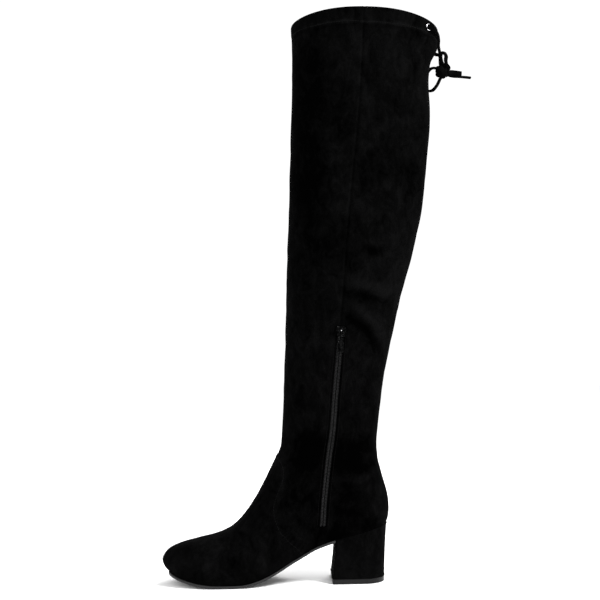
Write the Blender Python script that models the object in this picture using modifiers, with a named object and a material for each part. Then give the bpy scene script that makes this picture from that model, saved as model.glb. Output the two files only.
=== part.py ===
"""A right over-the-knee boot on a covered block heel, with a zip half way up its inner side and a
drawstring at the back of its collar.

Metres, +Z up. The toe points to -Y and the inner (medial) side is +X. The origin is the middle of
the heel's lower face, and heel and forefoot both stand on z = 0.
"""

import math

import bmesh
import bpy
import numpy as np
from mathutils import Matrix, Vector

MM = 0.001

# Driving sizes.
FOOT_LENGTH = 240 * MM  # from the back of the heel to the tip of the toe
HEEL_BACK = 33 * MM  # how far the back of the heel lies behind the origin
BALL_WIDTH = 86 * MM  # the widest part of the foot, outside
HEEL_HEIGHT = 60 * MM  # floor to the upper's edge at the back
INSTEP_HEIGHT = 136 * MM  # floor to the point where the vamp meets the shaft
ANKLE_HEIGHT = 150 * MM  # where the foot's rings have turned level
BOOT_HEIGHT = 608 * MM  # floor to the highest point of the top line
TOP_LINE_RISE = 12 * MM  # how far the top line rises at the sides
TOP_LINE_FRONT = 4 * MM  # how far it rises at the front
TOP_LINE_BACK = 2 * MM  # and at the back
WALL = 2.0 * MM
GAP = 0.3 * MM  # between pieces that touch
SOLE_GAP = 0.6 * MM  # between the sole line and the pieces under it

OUTSOLE_THICKNESS = 2.7 * MM
OUTSOLE_LEDGE = 0.6 * MM  # how far the outsole shows outside the upper
INSOLE_THICKNESS = 2.5 * MM
INSOLE_MARGIN = 3.2 * MM
ROW_END = 0.035  # share of half a turn that an outline's first and last rows are in from its tips

HEEL_TIP_THICKNESS = 5.0 * MM
HEEL_TIP_INSET = 0.3 * MM
BREAST_TOP = -25 * MM  # the heel's front face, at the sole and at the floor
BREAST_BOTTOM = -28.5 * MM
BREAST_SKEW = math.tan(math.radians(4.5))  # the breast's inner end lies further forward
BREAST_BLEND = 36 * MM  # the outsole's rows turn into the breast over this length
HEEL_BOTTOM_BACK = 27.9 * MM
HEEL_BOTTOM_HALF = 26.6 * MM
HEEL_CORNER = 2.5 * MM
HEEL_STEPS = 22
CORNER_ROWS = (0.0, 0.08, 0.3, 0.65, 1.0)  # rows round the breast's corner, as shares of it

SLOT_WIDTH = 7.6 * MM
SLOT_TOP = 268 * MM
SLOT_BOTTOM = 59 * MM

SIDE_STEPS = 20  # columns on each side of the upper
STEPS_BEFORE_SLOT = 10
FOOT_RINGS = 18
ZIP_RINGS = 5  # from the ankle to the top of the zip
SHAFT_RINGS = 14  # from there to the top line
SECTION_POWER = 2.2
TOE_ROW_POWER = 1.5  # sets the foot's rings closer at the toe

LACE_DIAMETER = 3.0 * MM
LACE_STEP = 4.5 * MM  # between the points of a lace's line
EYELET_Y = 75 * MM
EYELET_HEIGHT = 593 * MM
EYELET_RADIUS = 4.6 * MM
EYELET_BORE = 2.3 * MM
EYELET_BARREL = 2.8 * MM
EYELET_SLACK = 1.6 * MM  # the lining curves in under the inner flange
EYELET_SIDES = 24

COIL_WIDTH = 6.8 * MM
COIL_DEPTH = 1.7 * MM
TAPE_THICKNESS = 0.6 * MM
TAPE_OVERLAP = 0.25  # share of a ring's step that the tape runs past the slot

SLIDER_HEIGHT = 262 * MM
SLIDER_LENGTH = 12.0 * MM
SLIDER_TOP_WIDTH = 10.4 * MM
SLIDER_FOOT_WIDTH = 8.0 * MM
SLIDER_PLATE = 1.9 * MM
SLIDER_WEDGE = (6.4 * MM, 10.6 * MM)
CROWN_RADIUS = 2.6 * MM
CROWN_WIRE = 0.75 * MM
PULL_LENGTH = 21.6 * MM
PULL_WIDTH = 5.6 * MM
PULL_THICKNESS = 1.2 * MM
PULL_SLOT = (3.2 * MM, 16.4 * MM)
PULL_AXIS_OUT = 3.3 * MM  # from the upper's surface to the pull's bar

# Finishes: name, colour, roughness, metallic.
BLACK_SUEDE = ("black_suede", (0.012, 0.012, 0.013), 0.92, 0.0)
BLACK_LINING = ("black_lining", (0.020, 0.020, 0.021), 0.85, 0.0)
BLACK_RUBBER = ("black_rubber", (0.030, 0.030, 0.031), 0.60, 0.0)
BLACK_TAPE = ("black_tape", (0.022, 0.022, 0.024), 0.75, 0.0)
BLACK_NYLON = ("black_nylon", (0.045, 0.045, 0.048), 0.40, 0.0)
BLACK_METAL = ("black_metal", (0.060, 0.060, 0.062), 0.25, 1.0)
SILVER_METAL = ("silver_metal", (0.720, 0.720, 0.710), 0.28, 1.0)

BOOT = "over_the_knee_boot"
HELPERS = "helpers"


def table(columns, *rows, unit=MM):
    """A short table as one array for each named column, in metres where the rows are in mm."""
    return {name: np.array(values, float) * unit for name, values in zip(columns.split(), zip(*rows))}


# The sole line, where the upper's lower edge runs. Station: share of the foot's length from the
# heel's back. Height: share of the heel height. Widths: share of the ball's width, to each side.
# Tuck: how far the upper's edge is drawn in under its widest line, a share of the ball's width.
SOLE = table(
    "station height inner outer tuck tuck_height",
    (0.00, 1.020, 0.350, 0.350, 0.025, 0.20),
    (0.07, 0.960, 0.350, 0.350, 0.025, 0.20),
    (0.14, 0.875, 0.352, 0.354, 0.030, 0.22),
    (0.24, 0.772, 0.350, 0.362, 0.055, 0.30),
    (0.33, 0.642, 0.352, 0.378, 0.085, 0.36),
    (0.39, 0.510, 0.362, 0.398, 0.095, 0.36),
    (0.45, 0.384, 0.382, 0.424, 0.085, 0.32),
    (0.50, 0.272, 0.406, 0.450, 0.068, 0.27),
    (0.55, 0.176, 0.432, 0.474, 0.054, 0.23),
    (0.60, 0.106, 0.456, 0.490, 0.046, 0.21),
    (0.66, 0.060, 0.474, 0.496, 0.042, 0.20),
    (0.70, 0.055, 0.477, 0.494, 0.041, 0.20),
    (0.77, 0.058, 0.478, 0.484, 0.040, 0.20),
    (0.83, 0.082, 0.466, 0.464, 0.038, 0.20),
    (0.90, 0.132, 0.450, 0.444, 0.036, 0.20),
    (0.97, 0.213, 0.440, 0.434, 0.034, 0.20),
    unit=1.0,
)

# The front line of the foot, from the edge at the toe over the vamp to the ankle. Station and
# height as above, but the height is a share of the instep height. Round: the depth in mm over
# which the foot rounds from this line to its full width. Ridge: how far the line lies inward (+X).
VAMP = table(
    "station height round ridge",
    (0.968, 0.096, 50, 3.0),
    (0.988, 0.135, 50, 3.0),
    (0.998, 0.187, 50, 3.0),
    (0.990, 0.221, 46, 3.0),
    (0.966, 0.263, 38, 3.2),
    (0.910, 0.304, 32, 3.6),
    (0.840, 0.336, 33, 4.0),
    (0.765, 0.368, 37, 4.2),
    (0.700, 0.418, 40, 4.0),
    (0.655, 0.489, 42, 3.6),
    (0.600, 0.622, 44, 3.0),
    (0.556, 0.760, 48, 2.0),
    (0.519, 0.893, 52, 1.0),
    (0.491, 0.997, 56, 0.4),
    (0.482, 1.045, 57, 0.1),
    (0.4790, 1.1029, 58, 0.0),
    unit=1.0,
)

# The back line of the foot, from the edge at the heel to the ankle.
COUNTER = table(
    "height back round",
    (61, 30.2, 27),
    (66, 31.9, 28),
    (75, 33.0, 30),
    (84, 32.6, 31),
    (94, 30.8, 32),
    (105, 27.6, 34),
    (117, 24.2, 36),
    (129, 21.4, 38),
    (140, 20.2, 40),
    (150, 20.4, 42),
)

# The shaft's level sections.
SHAFT = table(
    "height front back half_width front_round back_round",
    (150, -82.0, 20.4, 33.0, 58, 42),
    (175, -80.4, 23.0, 34.8, 56, 46),
    (200, -79.4, 26.2, 36.6, 55, 50),
    (225, -78.7, 30.0, 38.2, 55, 53),
    (250, -77.9, 35.6, 39.6, 56, 56),
    (300, -77.0, 47.2, 41.8, 60, 62),
    (350, -75.8, 61.2, 43.6, 66, 68),
    (400, -74.3, 71.9, 45.2, 72, 72),
    (450, -72.9, 77.6, 46.4, 75, 75),
    (500, -71.6, 81.6, 47.2, 77, 76),
    (540, -71.0, 80.4, 47.6, 77, 76),
    (558, -70.9, 82.2, 47.8, 77, 76),
    (575, -71.1, 89.0, 48.0, 78, 78),
    (586, -71.5, 91.6, 48.0, 79, 80),
    (596, -72.0, 91.0, 48.0, 79, 80),
)

# The inner side seam in the side view, which the zip follows up to its slider.
SEAM = table(
    "height y",
    (30, -46.5),
    (45, -45.0),
    (59, -41.2),
    (80, -39.8),
    (129, -35.0),
    (160, -30.8),
    (194, -28.4),
    (237, -24.8),
    (268, -22.6),
    (333, -18.0),
    (412, -11.5),
    (495, -3.5),
    (560, 0.5),
    (620, 3.0),
)

# The drawstring's routes, in mm. A run comes out of its eyelet and goes down to the knot; a loop
# leaves the knot and comes back to it; an end hangs free. The bow is tied by hand, so its two
# sides differ.
KNOT_PLACE = (1.0, 98.3, 554.7)
KNOT_SIZE = (6.0, 7.2, 6.5)
LACE_ROUTES = {
    "lace_run_medial": [
        (30.6, 74.4, 593.0),
        (33.6, 76.9, 593.0),
        (32.6, 80.2, 592.4),
        (28.4, 84.0, 591.2),
        (21.0, 88.6, 589.0),
        (13.5, 91.9, 585.8),
        (8.0, 93.2, 580.5),
        (5.0, 94.2, 573.5),
        (3.6, 94.5, 567.0),
        (2.8, 94.4, 561.3),
    ],
    "lace_run_lateral": [
        (-30.6, 74.4, 593.0),
        (-33.6, 76.9, 593.0),
        (-32.6, 80.2, 592.0),
        (-28.6, 84.0, 589.6),
        (-21.5, 88.2, 585.4),
        (-14.0, 90.8, 580.2),
        (-8.0, 92.0, 576.3),
        (-3.0, 93.6, 574.0),
        (-0.6, 95.6, 571.0),
        (-0.4, 96.6, 566.0),
        (-0.4, 97.2, 562.3),
    ],
    "lace_loop_medial": [
        (4.8, 97.6, 561.9),
        (6.9, 95.6, 565.0),
        (7.9, 94.8, 569.0),
        (8.0, 95.6, 572.6),
        (7.9, 98.4, 572.4),
        (7.8, 100.6, 569.2),
        (7.5, 100.2, 564.6),
        (7.0, 102.0, 560.6),
        (6.4, 104.0, 557.6),
    ],
    "lace_loop_lateral": [
        (-2.6, 92.2, 558.0),
        (-7.5, 87.0, 560.0),
        (-12.6, 84.0, 558.4),
        (-18.4, 81.6, 552.2),
        (-20.8, 80.5, 545.0),
        (-18.4, 81.3, 538.5),
        (-12.0, 84.2, 535.2),
        (-6.5, 87.6, 534.6),
        (-3.0, 91.2, 538.6),
        (-1.0, 95.6, 547.4),
    ],
    "lace_end_medial": [
        (5.0, 104.7, 552.0),
        (5.4, 109.5, 551.5),
        (5.4, 114.5, 551.5),
        (5.4, 119.0, 551.4),
    ],
    "lace_end_lateral": [
        (-0.6, 104.8, 550.2),
        (-1.4, 111.0, 549.3),
        (-1.8, 117.0, 549.3),
        (-2.0, 124.0, 549.1),
        (-2.0, 130.0, 548.6),
    ],
}


def curve(places, values, at):
    """A smooth curve through the rows that never swings past them, read at the places asked for."""
    step = np.diff(places)
    slope = np.diff(values) / step
    before, after = slope[:-1], slope[1:]
    same_way = before * after > 0
    inner = np.where(same_way, 2 * before * after / np.where(same_way, before + after, 1), 0)
    tangent = np.concatenate([slope[:1], inner, slope[-1:]])
    at = np.clip(at, places[0], places[-1])
    i = np.clip(np.searchsorted(places, at, side="right") - 1, 0, len(step) - 1)
    t = (at - places[i]) / step[i]
    return (
        values[i] * (1 + 2 * t) * (1 - t) ** 2
        + values[i + 1] * t**2 * (3 - 2 * t)
        + step[i] * t * (1 - t) * (tangent[i] * (1 - t) - tangent[i + 1] * t)
    )


def smoothstep(low, high, value):
    t = np.clip((value - low) / (high - low), 0, 1)
    return t * t * (3 - 2 * t)


def station_of(y):
    return (HEEL_BACK - y) / FOOT_LENGTH


def y_of(station):
    return HEEL_BACK - station * FOOT_LENGTH


def sole_height(y):
    return curve(SOLE["station"], SOLE["height"], station_of(y)) * HEEL_HEIGHT


def along(points):
    """The share of a line's length at each of its points."""
    lengths = np.linalg.norm(np.diff(points, axis=0), axis=1)
    return np.concatenate([[0], np.cumsum(lengths)]) / lengths.sum()


VAMP_POINTS = np.stack([y_of(VAMP["station"]), VAMP["height"] * INSTEP_HEIGHT], axis=1)
VAMP_SHARE = along(VAMP_POINTS)
COUNTER_POINTS = np.stack([COUNTER["back"], COUNTER["height"]], axis=1)
COUNTER_SHARE = along(COUNTER_POINTS)


def vamp_at(share):
    return np.stack([curve(VAMP_SHARE, VAMP_POINTS[:, k], share) for k in (0, 1)], axis=-1)


def counter_at(share):
    return np.stack([curve(COUNTER_SHARE, COUNTER_POINTS[:, k], share) for k in (0, 1)], axis=-1)


def shaft_at(column, height):
    return curve(SHAFT["height"], SHAFT[column], height)


def edge_lines():
    """The front and back edges of the side view as rows of y, z and rounding depth."""
    share = np.linspace(0, 1, 120)
    height = np.linspace(ANKLE_HEIGHT, SHAFT["height"][-1] + TOP_LINE_RISE, 120)[1:]
    foot_front = np.column_stack([vamp_at(share), curve(VAMP_SHARE, VAMP["round"], share) * MM])
    foot_back = np.column_stack([counter_at(share), curve(COUNTER_SHARE, COUNTER["round"], share)])
    shaft_front = np.column_stack([shaft_at("front", height), height, shaft_at("front_round", height)])
    shaft_back = np.column_stack([shaft_at("back", height), height, shaft_at("back_round", height)])
    return np.vstack([foot_front, shaft_front]), np.vstack([foot_back, shaft_back])


FRONT_EDGE, BACK_EDGE = edge_lines()
EDGE_BLEND = 3 * MM  # how softly the rounding depth follows the nearest point of an edge


def rounding(y, z, edge):
    """0 on an edge of the side view, rising on a superellipse to 1 where the boot is full width."""
    point = np.stack([y, z], axis=-1)[..., None, :]
    start, run = edge[:-1, :2], np.diff(edge[:, :2], axis=0)
    share = ((point - start) * run).sum(axis=-1) / (run**2).sum(axis=-1)
    away = np.linalg.norm(point - start - np.clip(share, 0, 1)[..., None] * run, axis=-1)
    near = away.min(axis=-1)
    weight = np.exp(-(away - near[..., None]) / EDGE_BLEND)
    depth = (weight * edge[:-1, 2]).sum(axis=-1) / weight.sum(axis=-1)
    left = 1 - np.clip(near / depth, 0, 1)
    return (1 - left**SECTION_POWER) ** (1 / SECTION_POWER)


def ridge(y, z):
    """How far the foot's middle line lies inward of the heel's."""
    order = np.argsort(VAMP["station"])
    inward = curve(VAMP["station"][order], VAMP["ridge"][order], station_of(y)) * MM
    return inward * (1 - smoothstep(0.6 * INSTEP_HEIGHT, ANKLE_HEIGHT, z))


def surface_x(y, z, side):
    """The outer surface's x at a point of the side view, on the inner (side 1) or outer (-1) half."""
    station = station_of(y)
    widest = curve(SOLE["station"], SOLE["inner" if side > 0 else "outer"], station) * BALL_WIDTH
    tuck = curve(SOLE["station"], SOLE["tuck"], station) * BALL_WIDTH
    tuck_height = curve(SOLE["station"], SOLE["tuck_height"], station) * HEEL_HEIGHT
    under = np.clip(1 - (z - sole_height(y)) / tuck_height, 0, 1)
    middle = ridge(y, z)
    foot = widest - tuck * under**2 - side * middle
    leg = shaft_at("half_width", z)
    full = foot + (leg - foot) * smoothstep(0.5 * INSTEP_HEIGHT, ANKLE_HEIGHT, z)
    return middle + side * full * rounding(y, z, FRONT_EDGE) * rounding(y, z, BACK_EDGE)


def foot_ring(lift, across):
    """The side view of the foot's rings, as a patch between the sole line, ankle, vamp and counter."""
    sole_y = VAMP_POINTS[0, 0] + (COUNTER_POINTS[0, 0] - VAMP_POINTS[0, 0]) * across
    low = np.stack([sole_y, sole_height(sole_y)], axis=-1)
    front, back = vamp_at(lift**TOE_ROW_POWER), counter_at(lift)
    up, on = lift[..., None], across[..., None]
    straight = VAMP_POINTS[0] + (COUNTER_POINTS[0] - VAMP_POINTS[0]) * on
    return (1 - up) * (low - straight) + (1 - on) * front + on * back


def shaft_ring(height, across):
    """The side view of a level ring; near the top it bows up with the top line."""
    end = np.where(across < 0.5, TOP_LINE_FRONT, TOP_LINE_BACK)
    power = np.where(across < 0.5, 2.4, 2.0)
    bow = TOP_LINE_RISE - (TOP_LINE_RISE - end) * np.abs(2 * across - 1) ** power
    rise = bow * smoothstep(0.8 * BOOT_HEIGHT, SHAFT["height"][-1], height)
    front, back = shaft_at("front", height), shaft_at("back", height)
    y = front + (back - front) * across
    return np.stack([y, height + rise], axis=-1)


def ring(level, across):
    """The side view of the ring at a level: 0 the sole line, 1 the ankle, 2 the top line."""
    if level <= 1:
        return foot_ring(np.full_like(across, level), across)
    height = ANKLE_HEIGHT + (level - 1) * (SHAFT["height"][-1] - ANKLE_HEIGHT)
    return shaft_ring(np.full_like(across, height), across)


def seam_angle(level):
    """The angle along a ring at which it crosses the side seam, and the angle of half the slot."""
    angle = np.linspace(0, math.pi, 361)
    view = ring(level, (1 - np.cos(angle)) / 2)
    behind = view[:, 0] - curve(SEAM["height"], SEAM["y"], view[:, 1])
    at = float(np.interp(0, behind, angle))
    speed = np.linalg.norm(np.gradient(view, angle, axis=0), axis=1)
    return at, SLOT_WIDTH / 2 / float(np.interp(at, angle, speed))


def ring_points(level):
    """A ring's points, round from the front by the inner side, the back and the outer side."""
    at, half = seam_angle(level)
    before = np.linspace(0, at - half, STEPS_BEFORE_SLOT + 1)
    after = np.linspace(at + half, math.pi, SIDE_STEPS - STEPS_BEFORE_SLOT)
    view = ring(level, (1 - np.cos(np.concatenate([before, after]))) / 2)
    y, z = view[:, 0], view[:, 1]
    inner = np.stack([surface_x(y, z, 1), y, z], axis=1)
    outer = np.stack([surface_x(y, z, -1), y, z], axis=1)
    inner[[0, -1], 0] = ridge(y, z)[[0, -1]]
    return np.vstack([inner, outer[-2:0:-1]])


def levels():
    """The upper's ring levels, with rings at the zip's two ends."""
    span = SHAFT["height"][-1] - ANKLE_HEIGHT
    zip_top = 1 + (SLOT_TOP - ANKLE_HEIGHT) / span
    foot = np.linspace(0, 1, FOOT_RINGS + 1)
    by_zip = np.linspace(1, zip_top, ZIP_RINGS + 1)[1:]
    above = np.linspace(zip_top, 2, SHAFT_RINGS + 1)[1:]
    return np.concatenate([foot, by_zip, above])


def material(finish):
    name, color, roughness, metallic = finish
    made = bpy.data.materials.get(name) or bpy.data.materials.new(name)
    made.use_nodes = True
    shader = made.node_tree.nodes["Principled BSDF"]
    shader.inputs["Base Color"].default_value = (*color, 1)
    shader.inputs["Roughness"].default_value = roughness
    shader.inputs["Metallic"].default_value = metallic
    return made


def clear_scene():
    for thing in list(bpy.data.objects):
        bpy.data.objects.remove(thing, do_unlink=True)
    for group in list(bpy.data.collections):
        bpy.data.collections.remove(group)
    for name in (BOOT, HELPERS):
        bpy.context.scene.collection.children.link(bpy.data.collections.new(name))


def place(name, data, finish, group=BOOT):
    """A new object that holds this mesh or curve, in its collection and with its material."""
    thing = bpy.data.objects.new(name, data)
    bpy.data.collections[group].objects.link(thing)
    if not data.materials:
        data.materials.append(material(finish))
    return thing


def helper(name, mesh):
    """A cutter or an added shape for a Boolean, which isn't a piece of the boot."""
    thing = place(name, mesh, BLACK_TAPE, HELPERS)
    thing.hide_render = True
    thing.display_type = "WIRE"
    return thing


def boolean(thing, other, operation):
    modifier = thing.modifiers.new(other.name, "BOOLEAN")
    modifier.operation = operation
    modifier.object = other


def mesh_of(name, points, faces, smooth_angle=40):
    mesh = bpy.data.meshes.new(name)
    mesh.from_pydata([tuple(p) for p in points], [], faces)
    mesh.shade_smooth()
    mesh.set_sharp_from_angle(angle=math.radians(smooth_angle))
    return mesh


def ring_faces(rings, columns, closed=True, skip=()):
    """The quads between rows of points, leaving out the (row, column) ones in skip."""
    last = columns if closed else columns - 1
    faces = []
    for r in range(rings - 1):
        for c in range(last):
            if (r, c) not in skip:
                d = (c + 1) % columns
                faces.append((r * columns + c, r * columns + d, (r + 1) * columns + d, (r + 1) * columns + c))
    return faces


def swept(name, sections, smooth_angle=40):
    """A closed solid through sections that have the same number of points, with flat ends."""
    rows, columns = sections.shape[:2]
    faces = ring_faces(rows, columns)
    faces.append(tuple(reversed(range(columns))))
    faces.append(tuple(range((rows - 1) * columns, rows * columns)))
    return mesh_of(name, sections.reshape(-1, 3), faces, smooth_angle)


def plate(name, inner, outer, low, high):
    """A plate between two edges seen from above, one row for each pair of points. low and high hold
    the heights of its two faces at the inner and the outer edge of each row."""
    corners = [
        np.column_stack([inner, low[0]]),
        np.column_stack([outer, low[1]]),
        np.column_stack([outer, high[1]]),
        np.column_stack([inner, high[0]]),
    ]
    return swept(name, np.stack(corners, axis=1))


def offset(edge, side, amount):
    """An edge seen from above, moved outward by an amount."""
    way = np.gradient(edge, axis=0)
    way /= np.linalg.norm(way, axis=1)[:, None]
    return edge + side * amount * np.stack([way[:, 1], -way[:, 0]], axis=1)


def sole_edge(y, side):
    """The upper's lower edge seen from above."""
    return np.column_stack([surface_x(y, sole_height(y), side), y])


def at_rows(rows, low, high):
    """Places between low and high, closer together at both ends."""
    share = (1 - np.cos(np.linspace(ROW_END, 1 - ROW_END, rows) * math.pi)) / 2
    return low + (high - low) * share


def frame_at(origin, across, up):
    """A frame whose X runs across, whose Y runs up, and whose Z points out of the boot."""
    x = Vector(across).normalized()
    z = x.cross(Vector(up)).normalized()
    frame = Matrix((x, z.cross(x), z)).transposed().to_4x4()
    frame.translation = Vector(origin)
    return frame


def add_upper(rings, slot):
    first, last = slot
    skip = {(r, STEPS_BEFORE_SLOT) for r in range(first, last)}
    faces = ring_faces(len(rings), rings.shape[1], skip=skip)
    upper = place("upper", mesh_of("upper", rings.reshape(-1, 3), faces, 60), BLACK_SUEDE)
    wall = upper.modifiers.new("wall", "SOLIDIFY")
    wall.thickness = WALL
    wall.offset = -1
    wall.use_even_offset = True
    return upper


def add_insole():
    y = at_rows(30, y_of(SOLE["station"][-1]), COUNTER_POINTS[0, 0])
    inner, outer = (offset(sole_edge(y, side), side, -INSOLE_MARGIN) for side in (1, -1))
    low = [sole_height(edge[:, 1]) for edge in (inner, outer)]
    high = [z + INSOLE_THICKNESS for z in low]
    place("insole", plate("insole", inner, outer, low, high), BLACK_LINING)


def skewed(edge, turn):
    """Moves an edge's points along the boot, so that its rows turn by their share into the breast."""
    return edge - np.column_stack([np.zeros(len(edge)), turn * edge[:, 0] * BREAST_SKEW])


def add_outsole():
    breast = BREAST_TOP - GAP
    flat = y_of(SOLE["station"][[11, 10]])
    front = at_rows(12, y_of(SOLE["station"][-1]), flat[0])[:-1]
    waist = np.linspace(flat[1], breast, 12)
    y = np.concatenate([front, flat, waist[1:]])
    turn = smoothstep(breast - BREAST_BLEND, breast, y)
    inner, outer = (skewed(offset(sole_edge(y, side), side, OUTSOLE_LEDGE), turn) for side in (1, -1))
    high = [sole_height(edge[:, 1]) - SOLE_GAP for edge in (inner, outer)]
    low = [z - OUTSOLE_THICKNESS for z in high]
    place("outsole", plate("outsole", inner, outer, low, high), BLACK_RUBBER)


def heel_rows(breast, back):
    """Rows from the breast to the back, with close ones round the breast's corners."""
    corner = breast + HEEL_CORNER * np.array(CORNER_ROWS)
    share = np.sin(np.linspace(0, 1 - ROW_END / 2, HEEL_STEPS - 4)[1:] * math.pi / 2)
    return np.concatenate([corner, corner[-1] + (back - corner[-1]) * share])


def heel_corner(y, breast):
    """How far the heel's side is drawn in where it rounds into the breast."""
    t = np.clip((y - breast) / HEEL_CORNER, 0, 1)
    return HEEL_CORNER * (1 - np.sqrt(1 - (1 - t) ** 2))


def heel_top(side):
    y = heel_rows(BREAST_TOP, COUNTER_POINTS[0, 0])
    edge = sole_edge(y, side)
    edge[:, 0] -= side * heel_corner(y, BREAST_TOP)
    return skewed(edge, np.clip(y / BREAST_TOP, 0, 1))


def heel_bottom(side, inset=0.0):
    y = heel_rows(BREAST_BOTTOM, HEEL_BOTTOM_BACK)
    left = 1 - np.clip((HEEL_BOTTOM_BACK - y) / HEEL_BOTTOM_HALF, 0, 1)
    half = HEEL_BOTTOM_HALF * (1 - left**SECTION_POWER) ** (1 / SECTION_POWER)
    edge = np.column_stack([side * (half - heel_corner(y, BREAST_BOTTOM)), y])
    return offset(skewed(edge, np.clip(y / BREAST_BOTTOM, 0, 1)), side, -inset)


def add_heel():
    """The covered block, and the thin piece under it that it walks on."""
    top = [heel_top(side) for side in (1, -1)]
    bottom = [heel_bottom(side) for side in (1, -1)]
    low = [np.full(len(edge), HEEL_TIP_THICKNESS + GAP) for edge in bottom]
    high = [sole_height(edge[:, 1]) - SOLE_GAP for edge in top]
    corners = [
        np.column_stack([bottom[0], low[0]]),
        np.column_stack([bottom[1], low[1]]),
        np.column_stack([top[1], high[1]]),
        np.column_stack([top[0], high[0]]),
    ]
    place("heel_block", swept("heel_block", np.stack(corners, axis=1)), BLACK_SUEDE)
    edge = [heel_bottom(side, HEEL_TIP_INSET) for side in (1, -1)]
    flat = [np.zeros(len(e)) for e in edge]
    raised = [z + HEEL_TIP_THICKNESS for z in flat]
    place("heel_top_piece", plate("heel_top_piece", *edge, flat, raised), BLACK_RUBBER)


def slot_frames(rings, first, last):
    """Middle, across and outward directions of the slot at each of its rings."""
    front, back = (rings[first : last + 1, STEPS_BEFORE_SLOT + k] for k in (0, 1))
    middle = (front + back) / 2
    across = (back - front) / np.linalg.norm(back - front, axis=1)[:, None]
    up = np.gradient(middle, axis=0)
    out = np.cross(across, up)
    return middle, across, out / np.linalg.norm(out, axis=1)[:, None]


def add_zip_coil(rings, slot):
    middle, across, out = slot_frames(rings, *slot)
    up = np.diff(middle, axis=0)
    middle[0] += GAP * up[0] / np.linalg.norm(up[0])
    slider_foot = SLIDER_HEIGHT - SLIDER_WEDGE[1] / 2 - GAP
    middle[-1] += up[-1] * (slider_foot - middle[-1, 2]) / up[-1, 2]
    side, near, far = across * COIL_WIDTH / 2, out * GAP, out * (GAP + COIL_DEPTH)
    corners = [middle - side - near, middle + side - near, middle + side - far, middle - side - far]
    sections = np.stack(corners, axis=1)
    place("zip_coil", swept("zip_coil", sections), BLACK_NYLON)


def add_zip_tape(rings, slot):
    """The tape lies behind the wall, one column wider than the slot on each side."""
    first, last = slot
    columns = slice(STEPS_BEFORE_SLOT - 1, STEPS_BEFORE_SLOT + 3)
    outward = np.cross(np.gradient(rings, axis=1), np.gradient(rings, axis=0))
    outward /= np.linalg.norm(outward, axis=2)[..., None]
    face, out = rings[first - 1 : last + 2, columns], outward[first - 1 : last + 2, columns]
    face, out = face.copy(), out.copy()
    for end, beside in ((0, 1), (-1, -2)):
        face[end] = face[beside] + TAPE_OVERLAP * (face[end] - face[beside])
        out[end] = out[beside]
    near = face - out * (WALL + 1.5 * GAP)
    far = near - out * TAPE_THICKNESS
    sections = np.concatenate([near, far[:, ::-1]], axis=1)
    place("zip_tape", swept("zip_tape", sections), BLACK_TAPE)


def slider_frame(rings, slot):
    middle, across, _ = slot_frames(rings, *slot)
    share = (SLIDER_HEIGHT - middle[-2, 2]) / (middle[-1, 2] - middle[-2, 2])
    return frame_at(middle[-2] + share * (middle[-1] - middle[-2]), across[-1], middle[-1] - middle[-2])


def outline_curve(name, outlines, thickness):
    """A flat piece with holes, as a 2D curve: the first outline is its edge."""
    data = bpy.data.curves.new(name, "CURVE")
    data.dimensions = "2D"
    data.fill_mode = "BOTH"
    data.extrude = thickness / 2
    for points in outlines:
        spline = data.splines.new("POLY")
        spline.points.add(len(points) - 1)
        spline.use_cyclic_u = True
        for point, (x, y) in zip(spline.points, points):
            point.co = (x, y, 0, 1)
    return data


def rounded_box(width, low, high, radius, steps=4):
    """The outline of a box centred on x = 0, from y = low to high, with round corners."""
    points = []
    for sx, y, turn in ((1, low, -90), (1, high, 0), (-1, high, 90), (-1, low, 180)):
        middle = (sx * (width / 2 - radius), y + (radius if y == low else -radius))
        for k in range(steps + 1):
            angle = math.radians(turn + 90 * k / steps)
            points.append((middle[0] + radius * math.cos(angle), middle[1] + radius * math.sin(angle)))
    return points


def meshed(name, data):
    """A curve's mesh with its caps welded on."""
    thing = bpy.data.objects.new(name, data)
    bpy.data.collections[HELPERS].objects.link(thing)
    bpy.context.view_layer.update()
    made = bpy.data.meshes.new_from_object(thing.evaluated_get(bpy.context.evaluated_depsgraph_get()))
    bpy.data.objects.remove(thing)
    bpy.data.curves.remove(data)
    shape = bmesh.new()
    shape.from_mesh(made)
    bmesh.ops.remove_doubles(shape, verts=shape.verts, dist=0.01 * MM)
    shape.to_mesh(made)
    shape.free()
    made.name = name
    return made


def add_slider(frame):
    """A plate over the slot, a wedge down into it, and a crown that the pull hangs from."""
    top, foot, half = SLIDER_TOP_WIDTH / 2, SLIDER_FOOT_WIDTH / 2, SLIDER_LENGTH / 2
    corner = 0.15 * SLIDER_LENGTH
    outline = [(-foot + corner, -half), (foot - corner, -half), (foot, -half + corner)]
    outline += [(top, 0.2 * half), (top, half - corner), (top - corner, half)]
    outline += [(-x, y) for x, y in reversed(outline[3:])] + [(-foot, -half + corner)]
    body = meshed("zip_slider", outline_curve("slider_outline", [outline], SLIDER_PLATE))
    slider = place("zip_slider", body, BLACK_METAL)
    slider.matrix_world = frame @ Matrix.Translation((0, 0, GAP + SLIDER_PLATE / 2))
    depth = WALL + GAP
    bpy.ops.mesh.primitive_cube_add(size=1)
    wedge = own_mesh("slider_wedge")
    wedge.data.transform(Matrix.Diagonal((*SLIDER_WEDGE, depth + GAP, 1)))
    wedge.matrix_world = frame @ Matrix.Translation((0, 0, 2 * GAP - (depth + GAP) / 2))
    bpy.ops.mesh.primitive_torus_add(
        major_radius=CROWN_RADIUS, minor_radius=CROWN_WIRE, major_segments=20, minor_segments=8
    )
    crown = own_mesh("slider_crown")
    crown.data.transform(Matrix.Rotation(math.pi / 2, 4, "Y"))
    crown.matrix_world = frame @ Matrix.Translation((0, 0, GAP + SLIDER_PLATE + 0.4 * MM))
    boolean(slider, wedge, "UNION")
    boolean(slider, crown, "UNION")


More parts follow.
